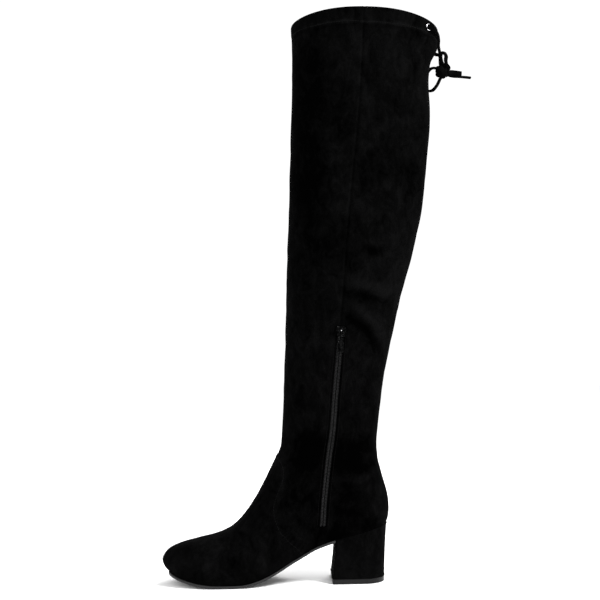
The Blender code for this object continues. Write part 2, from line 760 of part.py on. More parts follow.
def own_mesh(name):
    """Moves the primitive just added to the helpers, under its own name."""
    added = bpy.context.object
    mesh = added.data
    bpy.data.objects.remove(added)
    mesh.name = name
    return helper(name, mesh)


def add_pull(frame):
    """The pull tab, which turns about its bar inside the crown; its origin is on that axis."""
    bar = PULL_THICKNESS / 2
    edge = rounded_box(PULL_WIDTH, -PULL_LENGTH, bar, 1.1 * MM)
    slot = rounded_box(PULL_SLOT[0], -PULL_SLOT[1], -bar, 0.8 * MM)
    mesh = meshed("zip_pull_tab", outline_curve("pull_outline", [edge, slot], PULL_THICKNESS))
    pull = place("zip_pull_tab", mesh, BLACK_METAL)
    pull.matrix_world = frame @ Matrix.Translation((0, 0, PULL_AXIS_OUT))


def surface_frame(y, z, side):
    """A frame on the upper's outer surface, with Z pointing out."""
    step = 0.5 * MM
    at = np.array([[y, z], [y + step, z], [y, z + step]])
    x = surface_x(at[:, 0], at[:, 1], side)
    back, up = Vector((x[1] - x[0], step, 0)), Vector((x[2] - x[0], 0, step))
    return frame_at((x[0], y, z), back * side, up)


def add_eyelet(name, frame, upper):
    """A flanged ring through a hole in the upper, turned about its bore."""
    far = -(WALL + EYELET_SLACK)
    profile = [
        (EYELET_BORE, 0.9 * MM),
        (EYELET_BORE + 0.5 * MM, 1.3 * MM),
        (EYELET_RADIUS - 0.4 * MM, 1.2 * MM),
        (EYELET_RADIUS, 0.8 * MM),
        (EYELET_RADIUS, GAP + 0.1 * MM),
        (EYELET_BARREL, GAP + 0.1 * MM),
        (EYELET_BARREL, far),
        (EYELET_RADIUS - 0.8 * MM, far),
        (EYELET_RADIUS - 0.8 * MM, far - 0.6 * MM),
        (EYELET_BORE, far - 0.6 * MM),
    ]
    mesh = bpy.data.meshes.new(name)
    edges = [(k, (k + 1) % len(profile)) for k in range(len(profile))]
    mesh.from_pydata([(r, 0, z) for r, z in profile], edges, [])
    ring_piece = place(name, mesh, SILVER_METAL)
    ring_piece.matrix_world = frame
    turn = ring_piece.modifiers.new("turn", "SCREW")
    turn.steps = turn.render_steps = EYELET_SIDES
    turn.use_merge_vertices = True
    turn.merge_threshold = 0.01 * MM
    turn.use_smooth_shade = True
    bpy.ops.mesh.primitive_cylinder_add(vertices=EYELET_SIDES, radius=EYELET_BARREL + GAP, depth=12 * MM)
    hole = own_mesh(f"{name}_hole")
    hole.matrix_world = frame
    boolean(upper, hole, "DIFFERENCE")


def smooth_route(points, spacing):
    """Points at even spacing on a smooth curve through a route."""
    route = np.array(points, float) * MM
    share = along(route)
    tangent = np.gradient(route, share, axis=0)
    fine = np.linspace(0, 1, 400)
    i = np.clip(np.searchsorted(share, fine, side="right") - 1, 0, len(share) - 2)
    step = (share[i + 1] - share[i])[:, None]
    t = (fine - share[i])[:, None] / step
    line = (
        route[i] * (1 + 2 * t) * (1 - t) ** 2
        + route[i + 1] * t**2 * (3 - 2 * t)
        + step * t * (1 - t) * (tangent[i] * (1 - t) - tangent[i + 1] * t)
    )
    lengths = np.concatenate([[0], np.cumsum(np.linalg.norm(np.diff(line, axis=0), axis=1))])
    count = max(3, round(lengths[-1] / spacing) + 1)
    at = np.linspace(0, lengths[-1], count)
    return np.column_stack([np.interp(at, lengths, line[:, k]) for k in range(3)])


def add_lace(name, route):
    data = bpy.data.curves.new(name, "CURVE")
    data.dimensions = "3D"
    data.bevel_depth = LACE_DIAMETER / 2
    data.bevel_resolution = 2
    data.use_fill_caps = True
    points = smooth_route(route, LACE_STEP)
    spline = data.splines.new("POLY")
    spline.points.add(len(points) - 1)
    for point, place_of in zip(spline.points, points):
        point.co = (*place_of, 1)
    place(name, data, BLACK_SUEDE)


def add_knot():
    bpy.ops.mesh.primitive_uv_sphere_add(segments=16, ring_count=10, radius=1)
    added = bpy.context.object
    mesh = added.data
    bpy.data.objects.remove(added)
    mesh.name = "lace_knot"
    mesh.transform(Matrix.Diagonal((*(Vector(KNOT_SIZE) * MM), 1)))
    mesh.shade_smooth()
    knot = place("lace_knot", mesh, BLACK_SUEDE)
    knot.location = Vector(KNOT_PLACE) * MM


def main():
    clear_scene()
    at = levels()
    rings = np.array([ring_points(level) for level in at])
    last = FOOT_RINGS + ZIP_RINGS
    middle = rings[:, STEPS_BEFORE_SLOT : STEPS_BEFORE_SLOT + 2].mean(axis=1)
    slot = (int(np.abs(middle[:FOOT_RINGS, 2] - SLOT_BOTTOM).argmin()), last)
    upper = add_upper(rings, slot)
    add_insole()
    add_outsole()
    add_heel()
    add_zip_tape(rings, slot)
    add_zip_coil(rings, slot)
    frame = slider_frame(rings, slot)
    add_slider(frame)
    add_pull(frame)
    for name, side in (("eyelet_medial", 1), ("eyelet_lateral", -1)):
        add_eyelet(name, surface_frame(EYELET_Y, EYELET_HEIGHT, side), upper)
    add_knot()
    for name, route in LACE_ROUTES.items():
        add_lace(name, route)


main()
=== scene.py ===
"""The looks of a right over-the-knee boot in black faux suede: its finish, seams, creases, zip,
lining and the tied drawstring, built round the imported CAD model.

Metres, +Z up. The toe points to -Y and the inner (medial) side is +X, as in the CAD model.
"""

import math

import bpy
import numpy as np
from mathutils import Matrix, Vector


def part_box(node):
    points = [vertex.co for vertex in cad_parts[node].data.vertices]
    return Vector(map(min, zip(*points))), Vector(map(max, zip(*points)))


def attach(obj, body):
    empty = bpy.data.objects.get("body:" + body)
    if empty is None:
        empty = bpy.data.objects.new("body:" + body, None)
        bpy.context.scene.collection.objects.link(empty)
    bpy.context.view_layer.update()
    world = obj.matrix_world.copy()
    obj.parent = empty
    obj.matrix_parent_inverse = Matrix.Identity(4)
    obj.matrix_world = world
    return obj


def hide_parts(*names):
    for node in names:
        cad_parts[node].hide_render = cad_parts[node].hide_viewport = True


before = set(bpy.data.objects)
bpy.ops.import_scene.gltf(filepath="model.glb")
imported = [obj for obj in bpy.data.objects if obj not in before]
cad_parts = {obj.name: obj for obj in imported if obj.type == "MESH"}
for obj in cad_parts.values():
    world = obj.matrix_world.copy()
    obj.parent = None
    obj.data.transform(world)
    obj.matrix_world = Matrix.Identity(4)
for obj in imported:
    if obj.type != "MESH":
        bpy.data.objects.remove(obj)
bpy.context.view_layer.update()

MM = 0.001

# Driving sizes, the same as the CAD model's.
FOOT_LENGTH = 240 * MM
HEEL_BACK = 33 * MM
BALL_WIDTH = 86 * MM
HEEL_HEIGHT = 60 * MM
INSTEP_HEIGHT = 136 * MM
ANKLE_HEIGHT = 150 * MM
BOOT_HEIGHT = 608 * MM
TOP_LINE_RISE = 12 * MM
TOP_LINE_FRONT = 4 * MM
TOP_LINE_BACK = 2 * MM
TOP_LINE_POWERS = (2.4, 2.0)  # how square the top line's bow is, in front and at the back
WALL = 2.0 * MM
GAP = 0.3 * MM
SOLE_GAP = 0.6 * MM
SECTION_POWER = 2.2
TOE_ROW_POWER = 1.5
OUTSOLE_THICKNESS = 2.7 * MM
OUTSOLE_LEDGE = 0.6 * MM
HEEL_TIP_THICKNESS = 5.0 * MM
BREAST_TOP = -25 * MM
BREAST_BOTTOM = -28.5 * MM
BREAST_SKEW = math.tan(math.radians(4.5))
BREAST_BLEND = 36 * MM
HEEL_BOTTOM_BACK = 27.9 * MM
HEEL_BOTTOM_HALF = 26.6 * MM
HEEL_CORNER = 2.5 * MM
SLOT_WIDTH = 7.6 * MM

# The upper's grid: columns from the front to the slot, over it and on to the back, and rings.
COLUMNS_BEFORE = 46
COLUMNS_IN_SLOT = 4
COLUMNS_AFTER = 50
FOOT_RINGS = 120
SHAFT_RINGS = 220
# Beside the toe's foremost line: how many columns to each side are spaced evenly, on how many rings
# from the sole line up, and the ring where that has faded out.
TOE_COLUMNS = 5
TOE_EVEN_RINGS = 20
TOE_RINGS = 30
# Places along each part of the side view's front and back edges, and along half a ring.
EDGE_STEPS = 120
RING_STEPS = 361


def table(columns, *rows, unit=MM):
    """A short table as one array for each named column, in metres where the rows are in mm."""
    return {name: np.array(values, float) * unit for name, values in zip(columns.split(), zip(*rows))}


# The sole line, where the upper's lower edge runs. Station: share of the foot's length from the
# heel's back. Height: share of the heel height. Widths: share of the ball's width, to each side.
# Tuck: how far the upper's edge is drawn in under its widest line, a share of the ball's width.
SOLE = table(
    "station height inner outer tuck tuck_height",
    (0.00, 1.020, 0.350, 0.350, 0.025, 0.20),
    (0.07, 0.960, 0.350, 0.350, 0.025, 0.20),
    (0.14, 0.875, 0.352, 0.354, 0.030, 0.22),
    (0.24, 0.772, 0.350, 0.362, 0.055, 0.30),
    (0.33, 0.642, 0.352, 0.378, 0.085, 0.36),
    (0.39, 0.510, 0.362, 0.398, 0.095, 0.36),
    (0.45, 0.384, 0.382, 0.424, 0.085, 0.32),
    (0.50, 0.272, 0.406, 0.450, 0.068, 0.27),
    (0.55, 0.176, 0.432, 0.474, 0.054, 0.23),
    (0.60, 0.106, 0.456, 0.490, 0.046, 0.21),
    (0.66, 0.060, 0.474, 0.496, 0.042, 0.20),
    (0.70, 0.055, 0.477, 0.494, 0.041, 0.20),
    (0.77, 0.058, 0.478, 0.484, 0.040, 0.20),
    (0.83, 0.082, 0.466, 0.464, 0.038, 0.20),
    (0.90, 0.132, 0.450, 0.444, 0.036, 0.20),
    (0.97, 0.213, 0.440, 0.434, 0.034, 0.20),
    unit=1.0,
)

# The front line of the foot, from the edge at the toe over the vamp to the ankle. Station and
# height as above, but the height is a share of the instep height. Round: the depth in mm over
# which the foot rounds from this line to its full width. Ridge: how far the line lies inward (+X).
VAMP = table(
    "station height round ridge",
    (0.968, 0.096, 50, 3.0),
    (0.988, 0.135, 50, 3.0),
    (0.998, 0.187, 50, 3.0),
    (0.990, 0.221, 46, 3.0),
    (0.966, 0.263, 38, 3.2),
    (0.910, 0.304, 32, 3.6),
    (0.840, 0.336, 33, 4.0),
    (0.765, 0.368, 37, 4.2),
    (0.700, 0.418, 40, 4.0),
    (0.655, 0.489, 42, 3.6),
    (0.600, 0.622, 44, 3.0),
    (0.556, 0.760, 48, 2.0),
    (0.519, 0.893, 52, 1.0),
    (0.491, 0.997, 56, 0.4),
    (0.482, 1.045, 57, 0.1),
    (0.4790, 1.1029, 58, 0.0),
    unit=1.0,
)

# The back line of the foot, from the edge at the heel to the ankle.
COUNTER = table(
    "height back round",
    (61, 30.2, 27),
    (66, 31.9, 28),
    (75, 33.0, 30),
    (84, 32.6, 31),
    (94, 30.8, 32),
    (105, 27.6, 34),
    (117, 24.2, 36),
    (129, 21.4, 38),
    (140, 20.2, 40),
    (150, 20.4, 42),
)

# The shaft's level sections.
SHAFT = table(
    "height front back half_width front_round back_round",
    (150, -82.0, 20.4, 33.0, 58, 42),
    (175, -80.4, 23.0, 34.8, 56, 46),
    (200, -79.4, 26.2, 36.6, 55, 50),
    (225, -78.7, 30.0, 38.2, 55, 53),
    (250, -77.9, 35.6, 39.6, 56, 56),
    (300, -77.0, 47.2, 41.8, 60, 62),
    (350, -75.8, 61.2, 43.6, 66, 68),
    (400, -74.3, 71.9, 45.2, 72, 72),
    (450, -72.9, 77.6, 46.4, 75, 75),
    (500, -71.6, 81.6, 47.2, 77, 76),
    (540, -71.0, 80.4, 47.6, 77, 76),
    (558, -70.9, 82.2, 47.8, 77, 76),
    (575, -71.1, 89.0, 48.0, 78, 78),
    (586, -71.5, 91.6, 48.0, 79, 80),
    (596, -72.0, 91.0, 48.0, 79, 80),
)

# The inner side seam in the side view, which the zip follows up to its slider.
SEAM = table(
    "height y",
    (30, -46.5),
    (45, -45.0),
    (59, -41.2),
    (80, -39.8),
    (129, -35.0),
    (160, -30.8),
    (194, -28.4),
    (237, -24.8),
    (268, -22.6),
    (333, -18.0),
    (412, -11.5),
    (495, -3.5),
    (560, 0.5),
    (620, 3.0),
)


def hermite(t, step, low, high, leaving, arriving):
    """A cubic at share t of a step between two values, with the slopes that it leaves and arrives by."""
    return (
        low * (1 + 2 * t) * (1 - t) ** 2
        + high * t**2 * (3 - 2 * t)
        + step * t * (1 - t) * (leaving * (1 - t) - arriving * t)
    )


def curve(places, values, at):
    """A smooth curve through the rows that never swings past them, read at the places asked for."""
    step = np.diff(places)
    slope = np.diff(values) / step
    before, after = slope[:-1], slope[1:]
    same_way = before * after > 0
    inner = np.where(same_way, 2 * before * after / np.where(same_way, before + after, 1), 0)
    tangent = np.concatenate([slope[:1], inner, slope[-1:]])
    at = np.clip(at, places[0], places[-1])
    i = np.clip(np.searchsorted(places, at, side="right") - 1, 0, len(step) - 1)
    t = (at - places[i]) / step[i]
    return hermite(t, step[i], values[i], values[i + 1], tangent[i], tangent[i + 1])


def read(rows, column, at):
    """A column of a table between its rows, at values of the table's first column."""
    return curve(next(iter(rows.values())), rows[column], at)


def smoothstep(low, high, value):
    t = np.clip((value - low) / (high - low), 0, 1)
    return t * t * (3 - 2 * t)


def station_of(y):
    return (HEEL_BACK - y) / FOOT_LENGTH


def y_of(station):
    return HEEL_BACK - station * FOOT_LENGTH


def sole_height(y):
    return read(SOLE, "height", station_of(y)) * HEEL_HEIGHT


def unit(vector):
    return vector / np.linalg.norm(vector, axis=-1, keepdims=True)


def run_along(points):
    """The length of a line up to each of its points."""
    return np.concatenate([[0], np.cumsum(np.linalg.norm(np.diff(points, axis=0), axis=1))])


def along(points):
    """The share of a line's length at each of its points."""
    return run_along(points) / run_along(points)[-1]


def resample(values, lengths, at):
    """The columns of a line's values, read at lengths along it."""
    return np.column_stack([np.interp(at, lengths, column) for column in values.T])


# The foot's front and back lines as rows of y, z and rounding depth.
VAMP_LINE = np.stack([y_of(VAMP["station"]), VAMP["height"] * INSTEP_HEIGHT, VAMP["round"] * MM], axis=1)
COUNTER_LINE = np.stack([COUNTER["back"], COUNTER["height"], COUNTER["round"]], axis=1)
SHAFT_TOP = SHAFT["height"][-1]


def on_line(line, share):
    """A line's row at shares of its length in the side view."""
    lengths = along(line[:, :2])
    return np.stack([curve(lengths, column, share) for column in line.T], axis=-1)


def edge_line(foot, end):
    """The front or back edge of the whole side view as rows of y, z and rounding depth."""
    height = np.linspace(ANKLE_HEIGHT, SHAFT_TOP + TOP_LINE_RISE, EDGE_STEPS)[1:]
    shaft = [read(SHAFT, end, height), height, read(SHAFT, end + "_round", height)]
    return np.vstack([on_line(foot, np.linspace(0, 1, EDGE_STEPS)), np.column_stack(shaft)])


FRONT_EDGE, BACK_EDGE = edge_line(VAMP_LINE, "front"), edge_line(COUNTER_LINE, "back")
EDGE_BLEND = 3 * MM  # how softly the rounding depth follows the nearest point of an edge


def rounding(y, z, edge):
    """0 on an edge of the side view, rising on a superellipse to 1 where the boot is full width."""
    point = np.stack([y, z], axis=-1)[..., None, :]
    start, run = edge[:-1, :2], np.diff(edge[:, :2], axis=0)
    share = ((point - start) * run).sum(axis=-1) / (run**2).sum(axis=-1)
    away = np.linalg.norm(point - start - np.clip(share, 0, 1)[..., None] * run, axis=-1)
    near = away.min(axis=-1)
    weight = np.exp(-(away - near[..., None]) / EDGE_BLEND)
    depth = (weight * edge[:-1, 2]).sum(axis=-1) / weight.sum(axis=-1)
    left = 1 - np.clip(near / depth, 0, 1)
    return (1 - left**SECTION_POWER) ** (1 / SECTION_POWER)


def ridge(y, z):
    """How far the foot's middle line lies inward of the heel's."""
    order = np.argsort(VAMP["station"])
    inward = curve(VAMP["station"][order], VAMP["ridge"][order], station_of(y)) * MM
    return inward * (1 - smoothstep(0.6 * INSTEP_HEIGHT, ANKLE_HEIGHT, z))


def surface_x(y, z, side):
    """The outer surface's x at a point of the side view, on the inner (side 1) or outer (-1) half."""
    station = station_of(y)
    widest = read(SOLE, "inner" if side > 0 else "outer", station) * BALL_WIDTH
    tuck = read(SOLE, "tuck", station) * BALL_WIDTH
    tuck_height = read(SOLE, "tuck_height", station) * HEEL_HEIGHT
    under = np.clip(1 - (z - sole_height(y)) / tuck_height, 0, 1)
    middle = ridge(y, z)
    foot = widest - tuck * under**2 - side * middle
    leg = read(SHAFT, "half_width", z)
    full = foot + (leg - foot) * smoothstep(0.5 * INSTEP_HEIGHT, ANKLE_HEIGHT, z)
    return middle + side * full * rounding(y, z, FRONT_EDGE) * rounding(y, z, BACK_EDGE)


def foot_ring(lift, across):
    """The side view of a ring of the foot, in a patch between the sole line, ankle, vamp and counter."""
    toe, heel = VAMP_LINE[0, :2], COUNTER_LINE[0, :2]
    straight = toe + (heel - toe) * across[:, None]
    low = np.column_stack([straight[:, 0], sole_height(straight[:, 0])])
    front, back = on_line(VAMP_LINE, lift**TOE_ROW_POWER)[:2], on_line(COUNTER_LINE, lift)[:2]
    return (1 - lift) * (low - straight) + (1 - across[:, None]) * front + across[:, None] * back


def shaft_ring(height, across):
    """The side view of a level ring; near the top it bows up with the top line."""
    end = np.where(across < 0.5, TOP_LINE_FRONT, TOP_LINE_BACK)
    power = np.where(across < 0.5, *TOP_LINE_POWERS)
    bow = TOP_LINE_RISE - (TOP_LINE_RISE - end) * np.abs(2 * across - 1) ** power
    front, back = read(SHAFT, "front", height), read(SHAFT, "back", height)
    rise = bow * smoothstep(0.8 * BOOT_HEIGHT, SHAFT_TOP, height)
    return np.column_stack([front + (back - front) * across, height + rise])


def ring(level, across):
    """The side view of the ring at a level: 0 the sole line, 1 the ankle, 2 the top line."""
    if level <= 1:
        return foot_ring(level, across)
    return shaft_ring(ANKLE_HEIGHT + (level - 1) * (SHAFT_TOP - ANKLE_HEIGHT), across)


def seam_angle(level):
    """The angle along a ring at which it crosses the side seam, and the angle of half the slot."""
    angle = np.linspace(0, math.pi, RING_STEPS)
    view = ring(level, (1 - np.cos(angle)) / 2)
    behind = view[:, 0] - read(SEAM, "y", view[:, 1])
    at = float(np.interp(0, behind, angle))
    speed = np.linalg.norm(np.gradient(view, angle, axis=0), axis=1)
    return at, SLOT_WIDTH / 2 / float(np.interp(at, angle, speed))


# The upper's surface as one grid: rings from the sole line to the top line, columns all round.

SLOT_COLUMNS = range(COLUMNS_BEFORE, COLUMNS_BEFORE + COLUMNS_IN_SLOT)
BACK_COLUMN = COLUMNS_BEFORE + COLUMNS_IN_SLOT + COLUMNS_AFTER
COLUMNS = 2 * BACK_COLUMN
FOLD = ((0.0, 0.8), (0.5, 0.3), (1.2, 0.0))  # the top line's rounded fold: mm down, mm drawn in


def grid_levels():
    foot = np.linspace(0, 1, FOOT_RINGS + 1)
    shaft = np.linspace(1, 2, SHAFT_RINGS + 1)[1:]
    millimetre = MM / (SHAFT_TOP - ANKLE_HEIGHT)
    folded = 2 - np.array([down for down, _ in FOLD]) * millimetre
    return np.concatenate([foot, shaft[shaft < folded[-1]], folded[::-1]])


def grid_ring(level):
    """A ring's points, round from the front by the inner side, the back and the outer side."""
    at, half = seam_angle(level)
    before = np.linspace(0, at - half, COLUMNS_BEFORE + 1)
    slot = np.linspace(at - half, at + half, COLUMNS_IN_SLOT + 1)[1:-1]
    after = np.linspace(at + half, math.pi, COLUMNS_AFTER + 1)
    view = ring(level, (1 - np.cos(np.concatenate([before, slot, after]))) / 2)
    y, z = view[:, 0], view[:, 1]
    inner, outer = (np.stack([surface_x(y, z, side), y, z], axis=1) for side in (1, -1))
    inner[[0, -1], 0] = ridge(y, z)[[0, -1]]
    return np.vstack([inner, outer[-2:0:-1]])


def outward(grid):
    """The outward normal at each point of a closed grid."""
    around = np.roll(grid, -1, axis=1) - np.roll(grid, 1, axis=1)
    return unit(np.cross(around, np.gradient(grid, axis=0)))


def evened_toe(grid):
    """The grid with the columns beside the toe's foremost line spaced evenly, low on the toe."""
    share = (1 - smoothstep(TOE_EVEN_RINGS, TOE_RINGS, np.arange(TOE_RINGS)))[:, None]
    steps = np.arange(1, TOE_COLUMNS)
    for way in (1, -1):
        x = grid[:TOE_RINGS, way * steps, 0]
        front, last = grid[:TOE_RINGS, :1, 0], grid[:TOE_RINGS, [way * TOE_COLUMNS], 0]
        even = front + (last - front) * steps / TOE_COLUMNS
        grid[:TOE_RINGS, way * steps, 0] = x + (even - x) * share
    return grid


BASE = evened_toe(np.array([grid_ring(level) for level in grid_levels()]))
OUT = outward(BASE)
SIDE = np.where(np.arange(COLUMNS) < BACK_COLUMN, 1, -1)[None, :] * np.ones(BASE.shape[:2])
# Where its points lie in mm: in the side view, and round their ring.
Y, Z = BASE[..., 1] / MM, BASE[..., 2] / MM
ARC = np.cumsum(np.linalg.norm(BASE - np.roll(BASE, 1, axis=1), axis=2), axis=1) / MM


def bell(distance, width):
    return np.exp(-((distance / width) ** 2))


def ridges(distance, *rows):
    """Soft ridges (+) and troughs (-) across a line. Each row is one's place, width and height."""
    return sum(height * bell(distance - place, width) for place, width, height in rows)


def beside(line):
    """Each grid point's share along a line of the side view in mm, and its distance to the line's left."""
    best = np.full(Y.shape, np.inf)
    share, side = np.zeros(Y.shape), np.zeros(Y.shape)
    passed = run_along(line)
    for (a, b), (u, v), length, before in zip(line, np.diff(line, axis=0), np.diff(passed), passed):
        t = np.clip(((Y - a) * u + (Z - b) * v) / length**2, 0, 1)
        away = np.hypot(Y - a - t * u, Z - b - t * v)
        left = np.where(u * (Z - b) - v * (Y - a) >= 0, 1, -1)
        near = away < best
        best = np.where(near, away, best)
        share = np.where(near, (before + t * length) / passed[-1], share)
        side = np.where(near, left * away, side)
    return share, side


def bowed(row):
    """A line through a row's first, middle and last points of the side view."""
    t = np.linspace(0, 1, CREASE_STEPS)[:, None]
    first, middle, last = (np.array(row[k : k + 2]) for k in (0, 2, 4))
    bend = 2 * middle - (first + last) / 2
    return (1 - t) ** 2 * first + 2 * t * (1 - t) * bend + t**2 * last


CREASE_STEPS = 10
# The creases: side (1 inner, -1 outer), three points of the side view in mm, the trough's depth
# and half width, and the height of the soft ridge on its upper side.
CREASES = (
    (1, -22, 280.5, 1, 266.5, 20, 239, 2.6, 5.2, 1.8),
    (1, -21, 303.5, 2, 300, 30, 291.5, 1.7, 4.6, 1.8),
    (1, 0, 352.5, 11, 347.5, 23, 343.5, 1.0, 4.0, 0.5),
    (1, -44, 98, -56, 91, -64, 84, 0.9, 2.4, 0.5),
    (1, -66.5, 82, -66, 70, -60, 61, 0.8, 2.6, 0.4),
    (1, -60, 61, -53, 56.5, -47.5, 56.5, 0.7, 2.2, 0.4),
    (1, -74, 133, -58, 122, -44, 124, 1.1, 4.0, 0.6),
    (1, -26, 131, -6, 119, 18, 127, 1.2, 4.5, 0.8),
    (1, -24, 104, -6, 101, 14, 107, 0.8, 3.5, 0.5),
    (1, -28, 78, -10, 74, 8, 84, 0.6, 3.5, 0.4),
    (1, -130, 56.5, -126, 53, -122, 52, 0.8, 1.8, 0.4),
    (1, -125.5, 46, -126, 38, -125.5, 31, 0.5, 1.6, 0.2),
    (1, -6, 452, 5, 449.5, 17, 451, 0.7, 3.0, 0.4),
    (1, 52, 562, 60, 548, 62, 530, 0.8, 3.6, 0.6),
    (1, 8, 578, 12, 566, 10, 552, 0.5, 3.0, 0.3),
    (1, 34, 575, 39, 560, 38, 540, 0.6, 3.2, 0.4),
    (-1, -34, 268, -4, 262, 22, 245, 2.0, 4.6, 1.3),
    (-1, -30, 300, 0, 296, 28, 300, 1.5, 4.4, 1.2),
    (-1, -72, 130, -50, 121, -28, 126, 1.1, 4.2, 0.7),
    (-1, -36, 112, -10, 106, 16, 116, 1.2, 4.2, 0.8),
    (-1, -62, 96, -50, 88, -40, 78, 0.8, 3.0, 0.5),
    (-1, -132, 55, -126, 50, -120, 47, 0.8, 2.2, 0.4),
)

# The vamp's seam on both sides, from in front of the ankle down and back to the sole line.
VAMP_SEAM = np.array(
    [(-96, 146), (-88.4, 134.5), (-80.3, 121), (-81.1, 104.6), (-84.2, 97.4), (-90.4, 77)]
    + [(-89.9, 71.9), (-85.2, 58.5), (-75.9, 47.1), (-67.5, 39.9), (-58, 30)]
)
# The depth of the collar band below the top line at places along the boot, in mm.
COLLAR_Y = (-70, -45, -10, 6, 32, 60)
COLLAR_DEPTH = (12.5, 15.2, 16.0, 16.9, 16.7, 15.5)
SLOT_LOW, SLOT_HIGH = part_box("zip_coil")[0][2] - GAP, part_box("zip_slider")[1][2]
# How far each layer stands out, in mm, and where the side seam's line under the zip lies.
PLACKET_STEP = 0.35
LAP_STEP = 0.55
COLLAR_STEP = 0.3
LOWER_SEAM = -2.4

# How far the grid's points lie behind the side seam, past the slot's edges, in front of the vamp's
# seam and under the collar band's line of stitches, in mm.
BY_SEAM = Y - read(SEAM, "y", BASE[..., 2]) / MM
BY_SLOT = np.abs(BY_SEAM) - SLOT_WIDTH / MM / 2
VAMP_SEAM_SHARE, behind = beside(VAMP_SEAM)
AHEAD = -behind
UNDER = Z[-1] - Z - np.interp(Y, COLLAR_Y, COLLAR_DEPTH)
IN_ZIP = (SIDE > 0) & (BASE[..., 2] > SLOT_LOW) & (BASE[..., 2] < SLOT_HIGH)
UNDER_ZIP = (SIDE > 0) & (BASE[..., 2] < SLOT_LOW)


def seam_relief(away):
    """A seam whose two edges are turned in: a narrow trough between two low welts."""
    return ridges(np.abs(away), (2.3, 1.3, 0.24), (0, 0.75, -0.55))


def seams():
    """The relief of the seams, the zip's placket, the vamp's lapped edge and the collar band, in mm."""
    out = np.where(IN_ZIP, 0, seam_relief(BY_SEAM)) * smoothstep(20, 40, Z)
    out += np.where(UNDER_ZIP, seam_relief(BY_SEAM - LOWER_SEAM), 0)
    placket = PLACKET_STEP * (1 - smoothstep(5.0, 6.4, BY_SLOT)) + ridges(BY_SLOT, (2.0, 0.5, -0.3))
    out += np.where(IN_ZIP, placket, 0)
    out += LAP_STEP * smoothstep(-0.4, 0.4, AHEAD) + ridges(AHEAD, (-0.6, 0.7, -0.35), (1.8, 0.5, -0.15))
    return out + COLLAR_STEP * (1 - smoothstep(-0.5, 0.5, UNDER)) + ridges(UNDER, (0, 0.8, -0.5))


def painted_seam_shade():
    """Painted shade (-) and painted light (+) along the seams and the zip: light on the welts and the vamp's
    lapped edge, shade in the troughs and beside the zip, a light line on the collar band's stitched edge and
    shade just under it.
    """
    patchy = 0.6 + 0.4 * np.sin(Z / 7.3) * np.sin(Z / 17)
    side_seam = patchy * ridges(BY_SEAM, (-2.0, 1.3, 0.16)) + ridges(BY_SEAM, (0, 0.8, -0.16))
    lower_seam = ridges(BY_SEAM, (-4.0, 1.1, 0.22), (-2.2, 1.2, -0.55))
    zip_edges = ridges(BY_SLOT, (0, 1.2, -0.20), (4.5, 1.5, 0.05))
    out = np.where(IN_ZIP, zip_edges, np.where(UNDER_ZIP, lower_seam, side_seam))
    # How strongly the painted light and shade show along the vamp's seam: weaker towards the ankle.
    vamp_shade_weight = 0.35 + 0.65 * smoothstep(0.45, 0.75, VAMP_SEAM_SHARE)
    out += vamp_shade_weight * ridges(AHEAD, (1.4, 1.8, 0.18), (-2.4, 2.4, -0.12))
    ticks = 1 + 0.5 * np.sin(ARC * 2.6) * np.sin(ARC * 0.21)
    shown = 0.35 + 0.65 * smoothstep(-62, -35, Y)
    return out + ticks * shown * ridges(UNDER, (-0.2, 1.5, 0.34)) + ridges(UNDER, (3.0, 2.0, -0.10))


def folds():
    """The relief of the creases, in mm."""
    out = np.zeros(Y.shape)
    for side, *row, depth, width, lip in CREASES:
        share, above = beside(bowed(row))
        fade = np.sqrt(np.clip(np.sin(math.pi * np.clip(share, 0.02, 0.98)), 0, 1))
        fold = ridges(above, (2.1 * width, 1.4 * width, lip), (0, width, -depth))
        out += np.where(SIDE == side, fade * fold, 0)
    return out


# The shaft's slow unevenness: wave lengths round the boot and up it, and depth, in mm.
WAVES = ((61, 97, 0.28), (37, 71, 0.22), (23, 41, 0.12), (15, 29, 0.06))


def slack():
    """The gathers under the collar band and the cloth's own soft unevenness, in mm."""
    gather = np.sin(ARC / 2.9 + 1.7 * np.sin(ARC / 17)) + 0.6 * np.sin(ARC / 4.7 + 2)
    out = 0.22 * gather * bell(UNDER - 2, 9) * np.where(UNDER > 0, 1, 0.5)
    top = BOOT_HEIGHT / MM
    loose = smoothstep(ANKLE_HEIGHT / MM, 200, Z) * (1 - smoothstep(0.93 * top, top, Z))
    for wave, tall, size in WAVES:
        out += size * loose * np.sin(ARC / wave * 6.28 + Z / tall) * np.cos(Z / tall * 6.28 + ARC / wave)
    return out


def swelling():
    """The soft fold that the lace draws up at the back under the collar, in mm."""
    return 1.3 * bell(Y - 85, 9) * bell(Z - 575, 8) * smoothstep(72, 80, Y)


def skin_grid():
    """The upper's finished outer surface."""
    grid = BASE + OUT * (seams() + FOLDS + slack() + swelling())[..., None] * MM
    for back, (_, drawn) in enumerate(FOLD, 1):
        grid[-back] -= OUT[-back] * drawn * MM
    return grid


FOLDS = folds()
SKIN = skin_grid()
SKIN_OUT = outward(SKIN)


def skin_at(y, z, side):
    """The point of the finished surface at a place of the side view, with its normal."""
    columns = slice(0, BACK_COLUMN + 1) if side > 0 else slice(BACK_COLUMN, COLUMNS)
    flat = BASE[:, columns, 1:]
    row, column = np.unravel_index(((flat - (y, z)) ** 2).sum(axis=2).argmin(), flat.shape[:2])
    row = min(max(row, 1), flat.shape[0] - 2)
    column = min(max(column, 1), flat.shape[1] - 2)

    def slopes(field):
        rise = (field[row + 1, column] - field[row - 1, column]) / 2
        return rise, (field[row, column + 1] - field[row, column - 1]) / 2

    step = np.linalg.solve(np.stack(slopes(flat), axis=1), np.array([y, z]) - flat[row, column])
    step = np.clip(step, -1, 1)
    found = [field[row, column] + step @ slopes(field) for field in (SKIN[:, columns], SKIN_OUT[:, columns])]
    return found[0], unit(found[1])


# Materials.


